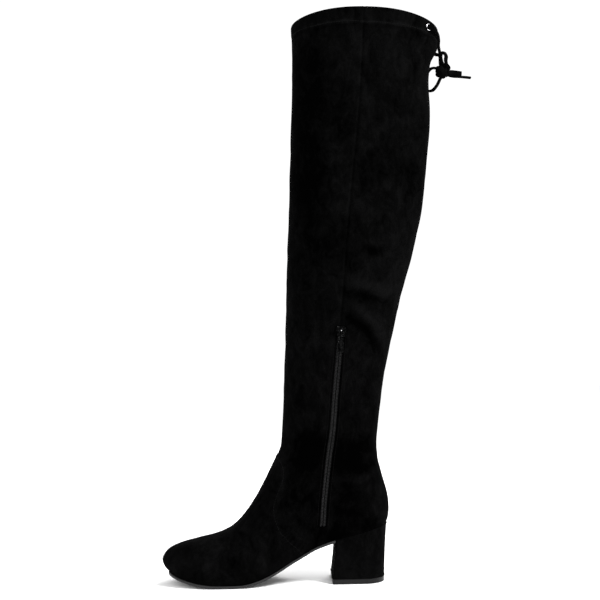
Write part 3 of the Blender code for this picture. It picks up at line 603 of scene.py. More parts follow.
class Finish:
    """A material in the making: its shader and the nodes that feed it."""

    def __init__(self, name):
        self.material = bpy.data.materials.new(name)
        self.material.use_nodes = True
        self.shader = self.material.node_tree.nodes["Principled BSDF"]

    def feed(self, node, inputs):
        """Sets a node's inputs by name or number, to plain values or to other nodes' outputs."""
        for key, value in inputs.items():
            if isinstance(value, bpy.types.NodeSocket):
                self.material.node_tree.links.new(value, node.inputs[key])
            else:
                node.inputs[key].default_value = value

    def node(self, kind, output, inputs, **settings):
        """One output of a new node."""
        node = self.material.node_tree.nodes.new("ShaderNode" + kind)
        for key, value in settings.items():
            setattr(node, key, value)
        self.feed(node, inputs)
        return node.outputs[output]

    def noise(self, where, scale, detail, roughness, distortion=0.0):
        inputs = {"Vector": where, "Scale": scale, "Detail": detail, "Roughness": roughness}
        return self.node("TexNoise", "Fac", {**inputs, "Distortion": distortion})

    def add(self, *terms):
        """The sum of (output, factor) terms."""
        total = 0.0
        for output, factor in terms:
            total = self.node("Math", 0, {0: output, 1: factor, 2: total}, operation="MULTIPLY_ADD")
        return total

    def ramp(self, value, *stops):
        """A nearly neutral grey between (place, level) stops."""
        color = self.node("ValToRGB", "Color", {"Fac": value})
        elements = color.node.color_ramp.elements
        while len(elements) < len(stops):
            elements.new(0.5)
        for element, (place, level) in zip(elements, stops):
            element.position = place
            element.color = (level, level, 1.02 * level, 1)
        return color

    def nap_and_shade(self):
        """The mesh's own darker and lighter places: the suede's brushed patches, and painted shade and light.
        """
        return self.node("Attribute", "Fac", {}, attribute_name="nap_and_shade")

    def bump(self, height, distance, strength=1.0):
        inputs = {"Height": height, "Distance": distance, "Strength": strength}
        self.feed(self.shader, {"Normal": self.node("Bump", "Normal", inputs)})


def suede(name, dark, light, nap_and_shade_share=1.0, stretch=(1, 1, 0.7)):
    """Napped faux suede: brushed patches, a fine short pile, and a soft sheen at grazing angles."""
    finish = Finish(name)
    where = finish.node("TexCoord", "Object", {})
    where = finish.node("Mapping", "Vector", {"Vector": where, "Scale": stretch})
    patches = finish.noise(where, 36, 3.0, 0.6, 0.4)
    blots = finish.noise(where, 95, 3.0, 0.7, 0.8)
    strokes = finish.noise(where, 260, 4.0, 0.65, 0.9)
    pile = finish.noise(where, 1500, 2.0, 0.6)
    # The mesh's attribute adds the suede's brushed patches, with painted shade and light from the creases and
    # seams.
    terms = [(finish.nap_and_shade(), 0.6 * nap_and_shade_share), (patches, 0.40), (blots, 0.50), (strokes, 0.22), (pile, 0.12)]
    middle = 0.62 * dark + 0.38 * light
    inputs = {
        "Base Color": finish.ramp(finish.add(*terms), (0.44, dark), (0.62, middle), (0.84, light)),
        "Roughness": 0.95,
        "Specular IOR Level": 0.006,
        "Sheen Weight": 0.003,
        "Sheen Roughness": 0.45,
        "Sheen Tint": (0.55, 0.55, 0.58, 1),
    }
    finish.feed(finish.shader, inputs)
    finish.bump(finish.add((pile, 0.7), (strokes, 0.6)), 0.5 * MM, 0.6)
    return finish.material


def speckled(name, dark, light, roughness, scale, height, metallic=0.0, specular=0.5):
    """A plain surface with a fine grain, for rubber, metal and moulded plastic."""
    finish = Finish(name)
    where = finish.node("TexCoord", "Object", {})
    grain = finish.noise(where, scale, 3.0, 0.6)
    wear = finish.noise(where, scale / 14, 3.0, 0.6, 0.4)
    # The mesh's attribute adds painted shade, such as on the zip's teeth under the slider.
    value = finish.add((grain, 0.5), (wear, 0.5), (finish.nap_and_shade(), 1.0))
    limits = {"Value": wear, "To Min": roughness * 0.8, "To Max": min(1.0, roughness * 1.25)}
    inputs = {
        "Base Color": finish.ramp(value, (0.35, dark), (0.65, light)),
        "Roughness": finish.node("MapRange", "Result", limits),
        "Metallic": metallic,
        "Specular IOR Level": specular,
    }
    finish.feed(finish.shader, inputs)
    finish.bump(grain, height)
    return finish.material


def black_nickel_painted_glints(name):
    """Black plated metal with painted highlights: nearly black faces, bright painted edges where a face turns
    up to the light, and painted glints like reflections.
    """
    finish = Finish(name)
    # Painted glints: a fine noise that makes small bright spots in the colour, like reflections.
    glints = finish.noise(finish.node("TexCoord", "Object", {}), 420, 3.0, 0.6, 0.8)
    # Painted highlight: the colour is lighter where the normal turns up towards the lamps.
    normal = finish.node("TexCoord", "Normal", {})
    lean = finish.node("VectorMath", "Value", {0: normal, 1: (0.45, 0.15, 0.88)}, operation="DOT_PRODUCT")
    stops = ((0.50, 0.0012), (0.64, 0.0045), (0.74, 0.015), (0.83, 0.26), (0.94, 0.85))
    color = finish.ramp(finish.add((lean, 0.40), (glints, 0.88)), *stops)
    finish.feed(finish.shader, {"Base Color": color, "Metallic": 1.0, "Roughness": 0.16})
    finish.bump(glints, 0.03 * MM)
    return finish.material


def woven(name, dark, light, pitch, specular=0.2):
    """A plain weave, for the lining and the zip's tape: two crossed rows of threads."""
    finish = Finish(name)
    where = finish.node("TexCoord", "Object", {})
    rows = []
    for direction in ("Y", "Z"):
        inputs = {"Vector": where, "Scale": 0.314 / pitch, "Distortion": 0.6, "Detail Scale": 3.0}
        kind = {"wave_type": "BANDS", "bands_direction": direction}
        rows.append((finish.node("TexWave", "Fac", inputs, **kind), 0.5))
    value = finish.add(*rows)
    color = finish.ramp(value, (0.1, dark), (0.9, light))
    finish.feed(finish.shader, {"Base Color": color, "Roughness": 0.85, "Specular IOR Level": specular})
    finish.bump(value, 0.25 * pitch)
    return finish.material


def plain(name, level, roughness, specular):
    """An even neutral surface."""
    finish = Finish(name)
    inputs = {"Base Color": (level, level, level, 1), "Roughness": roughness}
    finish.feed(finish.shader, {**inputs, "Specular IOR Level": specular})
    return finish.material


# Levels are linear: 0 black, 1 white.
SUEDE = suede("black_suede", 0.00004, 0.0026)
LACE_SUEDE = suede("lace_suede", 0.0002, 0.0030, 0.0, (1, 1, 1))
THREAD = speckled("black_thread", 0.0010, 0.0030, 0.6, 2600, 0.05 * MM, specular=0.03)
LINING = woven("lining_cloth", 0.003, 0.008, 0.9 * MM)
SOCK = woven("sock_cloth", 0.004, 0.010, 1.1 * MM)
TAPE = woven("zip_tape_cloth", 0.001, 0.0035, 0.7 * MM, 0.06)
NYLON = speckled("zip_nylon", 0.004, 0.011, 0.35, 1800, 0.03 * MM, specular=0.14)
GUNMETAL = black_nickel_painted_glints("black_nickel_painted_glints")
SILVER = speckled("silver_metal", 0.70, 0.80, 0.18, 900, 0.01 * MM, metallic=1.0)
RUBBER = speckled("black_rubber", 0.010, 0.018, 0.55, 1100, 0.06 * MM, specular=0.2)
TIP = speckled("heel_tip_rubber", 0.006, 0.011, 0.5, 1100, 0.05 * MM, specular=0.1)
FLOOR = plain("pale_floor", 0.95, 0.9, 0.05)


# Meshes.

BEAD_CORNERS = 6
BEAD_STEPS = 4
ROUTE_STEPS = 1200


def put(name, points, faces, finish, slot, smooth=50):
    """A mesh piece of the boot with its finish, attached to the boot's body. Its slot is not used."""
    mesh = bpy.data.meshes.new(name)
    mesh.from_pydata(np.asarray(points).tolist(), [], [tuple(int(k) for k in face) for face in faces])
    mesh.shade_smooth()
    mesh.set_sharp_from_angle(angle=math.radians(smooth))
    mesh.materials.append(finish)
    piece = bpy.data.objects.new(name, mesh)
    bpy.context.scene.collection.objects.link(piece)
    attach(piece, "boot")
    return piece


def set_nap_and_shade(piece, values):
    layer = piece.data.attributes.new("nap_and_shade", "FLOAT", "POINT")
    layer.data.foreach_set("value", np.asarray(values, np.float32).ravel())


def turns(count, first=0.0):
    """Angles at even steps once round, from a share of a step on."""
    return (np.arange(count) + first) * 2 * math.pi / count


def lattice(rows, columns):
    """The quads between closed rows of points, as rows of corner numbers."""
    r, c = np.meshgrid(np.arange(rows - 1), np.arange(columns), indexing="ij")
    d = (c + 1) % columns
    corners = [r * columns + c, r * columns + d, (r + 1) * columns + d, (r + 1) * columns + c]
    return np.stack(corners, axis=-1).reshape(-1, 4)


def facing_out(points, faces):
    """A closed solid's faces, turned over where they look inward."""
    faces = [tuple(int(k) for k in face) for face in faces]
    volume = 0.0
    for face in faces:
        corners = points[list(face)]
        volume += corners[0] @ np.cross(corners[1:-1], corners[2:]).sum(axis=0)
    return faces if volume > 0 else [face[::-1] for face in faces]


def tube(sections):
    """Points and faces of a closed solid through sections that have the same number of points."""
    rows, columns = sections.shape[:2]
    ends = [tuple(reversed(range(columns))), tuple(range((rows - 1) * columns, rows * columns))]
    points = sections.reshape(-1, 3)
    return points, facing_out(points, [*lattice(rows, columns), *ends])


def hoop(sections):
    """Points and faces of a closed band, whose last section meets its first."""
    points = sections.reshape(-1, 3)
    return points, facing_out(points, lattice(len(sections) + 1, sections.shape[1]) % len(points))


def joined(*meshes):
    """Several (points, faces) as one."""
    points, faces, start = [], [], 0
    for some_points, some_faces in meshes:
        points.append(some_points)
        faces += [tuple(start + k for k in face) for face in some_faces]
        start += len(some_points)
    return np.concatenate(points), faces


def copies(points, faces, frames):
    """One mesh's points and faces copied to each (origin, x, y, z) frame."""
    return joined(*((origin + points @ np.stack([x, y, z]), faces) for origin, x, y, z in frames))


def bead(length, radius, flat):
    """A rounded bar along X: a stitch or a zip's tooth. flat scales its height."""
    turn = turns(BEAD_CORNERS)
    lean = np.linspace(0.12, 1, BEAD_STEPS) * math.pi / 2
    straight = length / 2 - radius
    x = np.concatenate([-straight - radius * np.cos(lean), straight + radius * np.cos(lean[::-1])])
    size = radius * np.concatenate([np.sin(lean), np.sin(lean[::-1])])
    ring_of = np.stack([np.cos(turn), flat * np.sin(turn)], axis=1)
    return tube(np.stack([np.column_stack([np.full(BEAD_CORNERS, a), ring_of * s]) for a, s in zip(x, size)]))


def superellipse(turn, power):
    """The cosine and sine of each angle on a rounded rectangle's outline."""
    return tuple(np.sign(f) * np.abs(f) ** power for f in (np.cos(turn), np.sin(turn)))


def smooth_route(points, spacing):
    """Points at even spacing on a smooth curve through a route in mm."""
    route = np.array(points, float)
    share = along(route[:, :3])
    tangent = np.gradient(route, share, axis=0)
    fine = np.linspace(0, 1, ROUTE_STEPS)
    i = np.clip(np.searchsorted(share, fine, side="right") - 1, 0, len(share) - 2)
    step = (share[i + 1] - share[i])[:, None]
    t = (fine - share[i])[:, None] / step
    line = hermite(t, step, route[i], route[i + 1], tangent[i], tangent[i + 1])
    lengths = run_along(line[:, :3])
    at = np.linspace(0, lengths[-1], max(4, round(lengths[-1] / spacing) + 1))
    return resample(line, lengths, at)


# Camera, floor and light.

CAMERA_TARGET = Vector((0.0, -0.0622, 0.2978))
CAMERA_DISTANCE = 1.05
CAMERA_AZIMUTH = math.radians(85)
CAMERA_HEIGHT = 0.225
SENSOR_WIDTH = 36.0  # mm
FOCAL_LENGTH = 58.29  # mm
LIGHT_TARGET = Vector((0, -0.03, 0.3))
FLOOR_REACH = 12.0
FLOOR_DEPTH = 0.2 * MM  # just under the heel and the sole, which stand on z = 0
SKY_STRENGTH = 1.07


def add_camera():
    data = bpy.data.cameras.new("camera")
    data.sensor_width = SENSOR_WIDTH
    data.lens = FOCAL_LENGTH
    camera = bpy.data.objects.new("camera", data)
    away = Vector((math.sin(CAMERA_AZIMUTH), -math.cos(CAMERA_AZIMUTH), 0)) * CAMERA_DISTANCE
    camera.location = CAMERA_TARGET + away
    camera.location.z = CAMERA_HEIGHT
    camera.rotation_euler = (CAMERA_TARGET - camera.location).to_track_quat("-Z", "Y").to_euler()
    bpy.context.scene.collection.objects.link(camera)
    bpy.context.scene.camera = camera


def add_light(name, place, size, power):
    data = bpy.data.lights.new(name, "AREA")
    data.shape = "DISK"
    data.size = size
    data.energy = power
    lamp = bpy.data.objects.new(name, data)
    lamp.location = place
    lamp.rotation_euler = (LIGHT_TARGET - lamp.location).to_track_quat("-Z", "Y").to_euler()
    bpy.context.scene.collection.objects.link(lamp)


def add_stage():
    mesh = bpy.data.meshes.new("floor")
    corners = [(x * FLOOR_REACH, y * FLOOR_REACH, 0) for x, y in ((-1, -1), (1, -1), (1, 1), (-1, 1))]
    mesh.from_pydata(corners, [], [(0, 1, 2, 3)])
    mesh.materials.append(FLOOR)
    floor = bpy.data.objects.new("floor", mesh)
    floor.location.z = -FLOOR_DEPTH
    bpy.context.scene.collection.objects.link(floor)
    world = bpy.data.worlds.new("studio")
    world.use_nodes = True
    world.node_tree.nodes["Background"].inputs["Color"].default_value = (1, 1, 1, 1)
    world.node_tree.nodes["Background"].inputs["Strength"].default_value = SKY_STRENGTH
    bpy.context.scene.world = world
    bpy.context.scene.view_settings.view_transform = "Standard"


add_camera()
add_stage()
add_light("key", (0.9, 1.0, 1.8), 0.7, 60)
add_light("fill", (1.2, -1.5, 0.9), 1.2, 10)
add_light("back_light", (-1.4, 0.5, 1.5), 1.0, 25)


# The drawstring: one flat lace each side, from inside its eyelet to the knot, round its loop,
# back through the knot and out to its hanging end. Columns: the point, the direction that the
# lace's flat face looks in, and its width there, in mm.

LACE_WIDTH = 4.4
LACE_THICKNESS = 2.3
LACE_MEDIAL = (
    (30.6, 74.4, 593, 0.4, 0.2, 1, 3.6),
    (33.4, 75.3, 593, 0.9, 0.3, 0.3, 8),
    (34.1, 77.6, 592.9, 0.9, 0.4, 0.1, 8.8),
    (31.4, 81.4, 592.2, 0.9, 0.5, 0.1, 7.2),
    (26.4, 84.8, 590, 0.8, 0.6, 0.1, 5.2),
    (20.9, 87.9, 588, 0.8, 0.5, 0.1, 4.6),
    (13.3, 90.4, 585, 0.9, 0.4, 0.1, 4.4),
    (8.2, 91.2, 580.5, 0.8, 0.6, 0, 4.2),
    (5, 93.4, 573.5, 0.7, 0.7, 0, 4),
    (3.6, 94.1, 567, 0.8, 0.6, 0, 4),
    (2.8, 94.4, 561.3, 0.7, 0.7, 0, 3.6),
    (2.6, 96.5, 556.8, 0.6, 0.5, -0.6, 3.2),
    (3, 99.6, 555.2, 0.6, -0.1, -0.8, 3),
    (3.8, 101.2, 557.4, 0.6, -0.7, -0.3, 3),
    (4.2, 99.2, 560.2, 0.6, -0.6, 0.4, 3.2),
    (5, 96.4, 561.8, 0.5, -0.8, -0.4, 3.6),
    (6.9, 94.4, 565, 0.6, -0.7, -0.1, 4),
    (7.9, 93.6, 569, 0.7, -0.7, 0.1, 4.2),
    (8, 94.8, 572.8, 0.7, -0.5, 0.5, 4.4),
    (7.9, 98, 572.5, 0.8, 0.3, 0.5, 4.8),
    (7.8, 99.9, 569, 0.9, 0.5, 0.2, 5),
    (7.5, 99.5, 564.6, 0.9, 0.5, 0, 4.8),
    (7, 100.8, 560.4, 0.7, 0.7, 0.3, 4.2),
    (6.2, 103.4, 556.8, 0.6, 0.7, 0.2, 3.4),
    (4.8, 102.4, 553.2, 0.8, 0.2, -0.2, 3.2),
    (5, 104.7, 551.8, 1, 0.1, 0, 6.2),
    (5.4, 109.5, 551, 1, 0, 0, 6.8),
    (5.4, 114.5, 550.6, 1, 0, 0.1, 6.8),
    (5.4, 117.6, 550.3, 1, 0.1, 0.1, 6.4),
)
LACE_LATERAL = (
    (-30.6, 74.4, 593, -0.5, 0.2, 1, 3),
    (-33.6, 76.9, 593, -0.6, 0.3, 0.7, 3.2),
    (-33, 79.8, 592, -0.9, 0.5, 0.2, 4.6),
    (-28.4, 83.7, 589.6, -0.8, 0.6, 0.1, 4.6),
    (-21.3, 87.9, 585.4, -0.6, 0.8, 0.1, 4.4),
    (-13.8, 90.5, 580.2, -0.4, 0.9, 0.1, 4.4),
    (-8, 91.7, 576.3, -0.3, 0.8, 0.5, 4.2),
    (-3, 93.6, 574, -0.2, 0.7, 0.7, 3.8),
    (-0.4, 95.8, 571, 0, 0.9, 0.4, 3.8),
    (-0.4, 96.6, 566, 0, 1, 0.1, 4),
    (-0.4, 97.2, 562.3, 0, 1, 0, 3.6),
    (-0.4, 98, 558.4, 0.1, 0.9, 0.3, 3),
    (-1, 97, 555.6, 0.1, 0.2, -0.9, 3),
    (-1.8, 94.2, 556.6, 0, 0.3, -0.9, 3.2),
    (-2.6, 92.2, 558, 0, 0.4, 0.9, 3.4),
    (-7.5, 87, 560, 0.3, 0.2, 0.9, 4),
    (-12.6, 84, 558.4, -0.1, 0.2, 0.9, 4.4),
    (-18.4, 81.6, 552.2, -0.8, 0.2, 0.5, 4.4),
    (-20.8, 80.5, 545, -1, 0.2, 0, 4.2),
    (-18.4, 81.3, 538.5, -0.8, 0.2, -0.6, 4.4),
    (-12, 84.2, 535.2, 0.6, 0.3, -0.7, 4.4),
    (-6.5, 87.6, 534.6, 0.7, 0.4, -0.6, 4.4),
    (-3, 91.2, 538.6, 0.7, 0.6, -0.4, 4),
    (-1, 95.6, 547.4, 0.6, 0.7, -0.4, 3.6),
    (-0.8, 98, 550.8, 0.1, 0.8, -0.6, 3),
    (-0.8, 101.4, 551.6, 0.1, 0.3, -0.9, 3),
    (-0.6, 104.8, 550.2, 0.1, 0, 1, 3.8),
    (-1.4, 111, 549.3, 0.1, 0, 1, 4.6),
    (-1.8, 117, 549.3, 0.1, 0, 1, 4.6),
    (-2, 124, 549.1, 0, 0.1, 1, 4.6),
    (-2, 130, 548.6, 0, 0.1, 1, 4.4),
)
LACE_SPACING = 0.9  # mm between its sections
LACE_SECTION_POINTS = 12
LACE_CORNER = 0.6  # how square its section is: 1 an ellipse, 0 a rectangle
LACE_CUP = 0.10  # how hollow its flat face is, a share of its width
KNOT_MIDDLE = np.array([1.0, 96.7, 554.0])
KNOT_SIZE = np.array([6.0, 8.2, 7.3])
# Each band of the knot: the direction that it goes round, its width in mm and its size.
KNOT_BANDS = (
    ((0.20, 0.95, 0.15), 5.2, 1.08),
    ((0.35, 0.60, 0.70), 4.8, 1.06),
    ((0.30, -0.70, 0.60), 4.8, 1.05),
)
BAND_STEPS = 48
BAND_SECTION_POINTS = 12
# The bands' sections: how square they are, how hollow their outer face is, and how far in mm their
# middle lies inside the knot's surface.
BAND_CORNER = 0.7
BAND_CUP = 0.10
BAND_DEPTH = 0.7
CORE_RINGS = 22
CORE_COLUMNS = 32
CORE_POLE = 0.02  # the angle between the core's poles and its first and last rings


def flat_lace(route):
    """Sections of a flat lace in metres, and the line that it follows."""
    line = smooth_route(route, LACE_SPACING)
    path, face, width = line[:, :3], line[:, 3:6], line[:, 6]
    ahead = unit(np.gradient(path, axis=0))
    across = unit(np.cross(ahead, face))
    face = np.cross(across, ahead)
    wide, high = superellipse(turns(LACE_SECTION_POINTS, 0.5), LACE_CORNER)
    # Where it is squeezed narrow it is folded, and so thicker.
    thick = LACE_THICKNESS * np.clip(LACE_WIDTH / width, 1, 1.4)
    cup = LACE_CUP * width[:, None] * (wide**2 - 0.5)
    sections = path[:, None] + across[:, None] * (width[:, None] / 2 * wide)[..., None]
    sections = sections + face[:, None] * (thick[:, None] / 2 * high - cup)[..., None]
    return sections * MM, path * MM


def knot_band(axis, width, size):
    """A closed band of lace round the knot's core."""
    axis = unit(np.array(axis))
    first = unit(np.cross(axis, (1.0, 0.3, 0.1)))
    second = np.cross(axis, first)
    turn = turns(BAND_STEPS)[:, None]
    spoke = np.cos(turn) * first + np.sin(turn) * second
    path = spoke * (KNOT_SIZE - BAND_DEPTH) * size
    face = unit(spoke / KNOT_SIZE)
    across = np.cross(unit(np.roll(path, -1, axis=0) - np.roll(path, 1, axis=0)), face)
    wide, high = superellipse(turns(BAND_SECTION_POINTS), BAND_CORNER)
    wide = wide * width / 2
    high = high - BAND_CUP * wide**2
    return hoop(path[:, None] + across[:, None] * wide[:, None] + face[:, None] * high[:, None])


def knot_core():
    """A lumpy ball that fills the knot behind its bands."""
    lean = np.linspace(CORE_POLE, math.pi - CORE_POLE, CORE_RINGS)[:, None]
    turn = turns(CORE_COLUMNS)
    spoke = [np.sin(lean) * np.cos(turn), np.sin(lean) * np.sin(turn), np.cos(lean) + 0 * turn]
    lumps = 0.88 + 0.06 * np.sin(3 * turn + 1) * np.sin(2 * lean) + 0.05 * np.cos(4 * lean)
    return tube(np.stack(spoke, axis=-1) * KNOT_SIZE * lumps[..., None])


def add_knot():
    """The bow's knot: a soft core with the lace wrapped round it in bands."""
    points, faces = joined(knot_core(), *(knot_band(*band) for band in KNOT_BANDS))
    return put("lace_knot_bands", (points + KNOT_MIDDLE) * MM, faces, LACE_SUEDE, "lace")


knot = add_knot()
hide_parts("lace_knot")
for name, route in (("medial", LACE_MEDIAL), ("lateral", LACE_LATERAL)):
    sections, path = flat_lace(route)
    lace = put(f"lace_{name}", *tube(sections), LACE_SUEDE, "lace")
    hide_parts(f"lace_run_{name}", f"lace_loop_{name}", f"lace_end_{name}")


# The upper.

# Where the upper is painted darker or lighter: partly the suede's own brushed patches, partly painted shade
# at the ankle, in the creases, beside the side seam and just above the heel and the sole line, and darker
# paint on the vamp and toe where the lamps from above light them most. Columns: side (0 both), centre and
# reach in the side view in mm, and the shift.
NAP_AND_SHADE = (
    (0, -60, 500, 22, 70, -0.30),
    (0, -55, 420, 20, 50, -0.24),
    (0, -44, 350, 30, 45, -0.16),
    (0, -22, 485, 14, 40, -0.08),
    (0, 30, 520, 30, 40, -0.02),
    (0, 50, 440, 34, 44, -0.12),
    (0, 30, 350, 30, 40, 0.14),
    (0, 10, 205, 22, 50, -0.03),
    (0, -56, 140, 22, 18, -0.34),
    (0, -8, 132, 26, 20, -0.48),
    (0, -64, 92, 20, 30, -0.24),
    (0, -14, 86, 20, 15, -0.34),
    (0, 16, 92, 12, 26, 0.06),
    (0, -22, 47, 34, 10, -0.24),
    (0, 26, 66, 10, 18, 0.06),
    (1, 6, 75, 8, 6, 0.12),
    (1, -80, 71, 6, 7, 0.10),
    (0, -150, 36, 60, 26, 0.03),
    (0, -112, 72, 22, 26, -0.06),
    (0, -134, 24, 8, 10, -0.20),
    (0, -190, 44, 26, 12, -0.12),
    (1, 6, 60, 26, 7, -0.22),
    (1, -30, 49, 7, 12, -0.20),
    (1, 6, 432, 13, 22, -0.20),
    (1, 12, 346.5, 9, 4.5, -0.32),
    (1, -90, 129, 5, 7, 0.14),
    (1, -61, 46, 9, 7, 0.18),
)
CREASE_PAINTED_SHADE = 0.17  # painted light and shade on the creases: how much lighter the colour is for each mm that the surface stands up beside a crease, and darker for each mm down in its trough
LINING_GAP = 0.1 * MM


def nap_and_shade_shift():
    """How much darker (-) or lighter (+) the upper is painted: the suede's own brushed patches, and painted
    shade and light.
    """
    total = np.zeros(Y.shape)
    for which, y, z, reach_y, reach_z, shift in NAP_AND_SHADE:
        away = ((Y - y) / reach_y) ** 2 + ((Z - z) / reach_z) ** 2
        total += np.where((which == 0) | (SIDE == which), shift * np.exp(-away), 0)
    return total


def open_grid(grid, over_slot):
    """A grid's points and quads, left open where its columns lie over the zip's slot."""
    points = grid.reshape(-1, 3)
    quads = lattice(*grid.shape[:2])
    height = points[quads, 2].mean(axis=1)
    closed = ~over_slot[quads[:, 0] % grid.shape[1]] | (height <= SLOT_LOW) | (height >= SLOT_HIGH)
    return points, quads[closed]


def add_upper():
    points, quads = open_grid(SKIN, np.isin(np.arange(COLUMNS), SLOT_COLUMNS))
    upper = put("upper_suede", points, quads, SUEDE, "upper_suede", smooth=70)
    # The suede's own patches, with painted shade and light in the creases and along the seams.
    set_nap_and_shade(upper, nap_and_shade_shift() + CREASE_PAINTED_SHADE * FOLDS + painted_seam_shade())
    wall = upper.modifiers.new("wall", "SOLIDIFY")
    wall.thickness = WALL
    wall.offset = -1
    wall.use_rim_only = True
    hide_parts("upper")


def add_lining():
    """The inner face of the upper on every third ring and second column, open over the zip."""
    last = len(BASE) - len(FOLD)
    rows = np.r_[0:last:3, last]
    columns = np.r_[0:COLUMNS_BEFORE:2, COLUMNS_BEFORE, COLUMNS_BEFORE + COLUMNS_IN_SLOT : COLUMNS : 2]
    inner = BASE + OUT * (FOLDS * MM - WALL - LINING_GAP)[..., None]
    points, quads = open_grid(inner[rows][:, columns], columns == COLUMNS_BEFORE)
    put("lining", points, quads[:, ::-1], LINING, "sock", smooth=70)


add_upper()
add_lining()


# Its stitches.

STITCH_LIFT = 0.05 * MM
STITCH_FLATNESS = 0.8
COLLAR_RINGS = 60  # the rings from the top line down among which the collar's stitches lie
# How far the other rows lie outside the zip's slot and in front of the vamp's seam, in mm.
ZIP_ROW_ASIDE = 2.0
VAMP_ROW_AHEAD = 1.8


def add_stitches(name, rows, pitch, long=2.0, radius=0.2):
    """Rows of thread stitches, in mm. Each row is a list of (point, normal) on the surface."""
    frames = []
    for row in rows:
        points, normals = np.array(row).transpose(1, 0, 2)
        lengths = run_along(points)
        at = np.arange(pitch / 2, lengths[-1] / MM, pitch) * MM
        place, out = resample(points, lengths, at), unit(resample(normals, lengths, at))
        ahead = np.gradient(place, axis=0)
        ahead = unit(ahead - out * (ahead * out).sum(axis=1, keepdims=True))
        frames += zip(place + STITCH_LIFT * out, ahead, np.cross(out, ahead), out)
    points, faces = bead(long * MM, radius * MM, STITCH_FLATNESS)
    put(name, *copies(points, faces, frames), THREAD, "upper_suede")


def view_row(points, side):
    return [skin_at(y * MM, z * MM, side) for y, z in points]


def collar_row():
    """Places all round on the collar band's line of stitches."""
    rings = np.arange(len(BASE) - COLLAR_RINGS, len(BASE))[::-1]
    found = []
    for column in [*range(COLUMNS), 0]:
        at = np.interp(0, UNDER[rings, column], rings)
        low = int(at)
        rise = SKIN[low + 1, column] - SKIN[low, column]
        found.append((SKIN[low, column] + (at - low) * rise, SKIN_OUT[low, column]))
    return found


def zip_rows():
    """Places beside both edges of the zip's slot."""
    heights = np.arange(SLOT_LOW / MM + 1, SLOT_HIGH / MM - 1, 3.0)
    middle = read(SEAM, "y", heights * MM) / MM
    aside = SLOT_WIDTH / MM / 2 + ZIP_ROW_ASIDE
    return [view_row(zip(middle + way * aside, heights), 1) for way in (-1, 1)]


def seam_row(line, shift, side):
    """Places beside a line of the side view, shifted to its right, down to the sole."""
    way = unit(np.gradient(line, axis=0))
    moved = line + np.stack([way[:, 1], -way[:, 0]], axis=1) * shift
    return view_row(moved[moved[:, 1] > sole_height(moved[:, 0] * MM) / MM + 2], side)


add_stitches("collar_stitches", [collar_row()], 2.9, 2.3, 0.34)
add_stitches("zip_stitches", zip_rows(), 2.6)
vamp_line = smooth_route(VAMP_SEAM[1:], 1.5)
vamp_rows = [seam_row(vamp_line, VAMP_ROW_AHEAD, side) for side in (1, -1)]
add_stitches("vamp_stitches", vamp_rows, 2.9, 2.2, 0.3)


# The zip: two woven edges and a chain of interlocked coils, under the CAD slider and pull.

COIL_PITCH = 1.5 * MM
COIL_DEPTH = 1.15 * MM  # how far the coil's middle lies under the surface
TOOTH_LONG = 2.6 * MM
TOOTH_RADIUS = 0.5 * MM
TOOTH_ASIDE = 1.6 * MM  # how far a tooth's middle lies beside the coil's
TOOTH_LEAN = 0.22
TOOTH_FLATNESS = 0.9
# The teeth darken up this stretch, in mm, where the slider and its pull keep the light off them.
SLIDER_SHADOW = (243.5, 245.5)
SHADOW_NAP = -0.6
# The woven edge's section in mm: how far aside of the slot's middle and out of the surface.
TAPE_EDGE = ((2.3, -2.05), (3.5, -2.05), (3.5, -1.3), (3.2, -1.05), (2.7, -1.05), (2.4, -1.3))


def slot_line():
    """The slot's middle at even steps, with its across, outward and upward directions."""
    columns = list(SLOT_COLUMNS)
    (_, _, low), (_, _, high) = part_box("zip_coil")
    centre = BASE[:, columns[len(columns) // 2]]
    across = unit(BASE[:, columns[-1] + 1] - BASE[:, columns[0]])
    lengths = run_along(centre)
    first, last = np.interp([low, high], centre[:, 2], lengths)
    at = np.arange(first, last, COIL_PITCH / 2)
    middle = resample(centre, lengths, at)
    up = unit(np.gradient(middle, axis=0))
    out = unit(np.cross(unit(resample(across, lengths, at)), up))
    return middle, np.cross(up, out), out, up


def add_zip():
    middle, across, out, up = slot_line()
    side = np.where(np.arange(len(middle)) % 2, 1, -1)[:, None]
    x = unit(across + side * TOOTH_LEAN * up)
    place = middle + side * TOOTH_ASIDE * across - COIL_DEPTH * out
    teeth = copies(*bead(TOOTH_LONG, TOOTH_RADIUS, TOOTH_FLATNESS), zip(place, x, np.cross(out, x), out))
    coil = put("zip_teeth", *teeth, NYLON, "zip_coil")
    set_nap_and_shade(coil, SHADOW_NAP * smoothstep(*SLIDER_SHADOW, teeth[0][:, 2] / MM))
    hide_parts("zip_coil")
    edges = []
    for side in (1, -1):
        rows = [middle + (side * aside * across + rise * out) * MM for aside, rise in TAPE_EDGE[::side]]
        edges.append(tube(np.stack(rows, axis=1)))
    put("zip_tape_edges", *joined(*edges), TAPE, "zip_tape")


add_zip()


# The sole and the heel.

SOLE_ROWS = 58
SOLE_TIP_DEPTH = 0.85 * MM
SOLE_CORNER = 0.6 * MM
SOLE_CORNER_STEPS = 4
HEEL_ROWS = 40
HEEL_LEVELS = 26
HEEL_INSET = 0.2 * MM  # how far the cover lies inside the CAD block
HEEL_WAIST = 0.35 * MM
HEEL_FLARE = 0.45 * MM


def offset(edge, side, amount):
    """An edge seen from above, moved outward by an amount."""
    way = unit(np.gradient(edge, axis=0))
    return edge + side * amount * np.stack([way[:, 1], -way[:, 0]], axis=1)


def sole_edge(y, side):
    """The upper's lower edge seen from above."""
    return np.column_stack([surface_x(y, sole_height(y), side), y])


def skewed(edge, turn):
    """Moves an edge's points along the boot, so that its rows turn by their share into the breast."""
    return edge - np.column_stack([np.zeros(len(edge)), turn * edge[:, 0] * BREAST_SKEW])


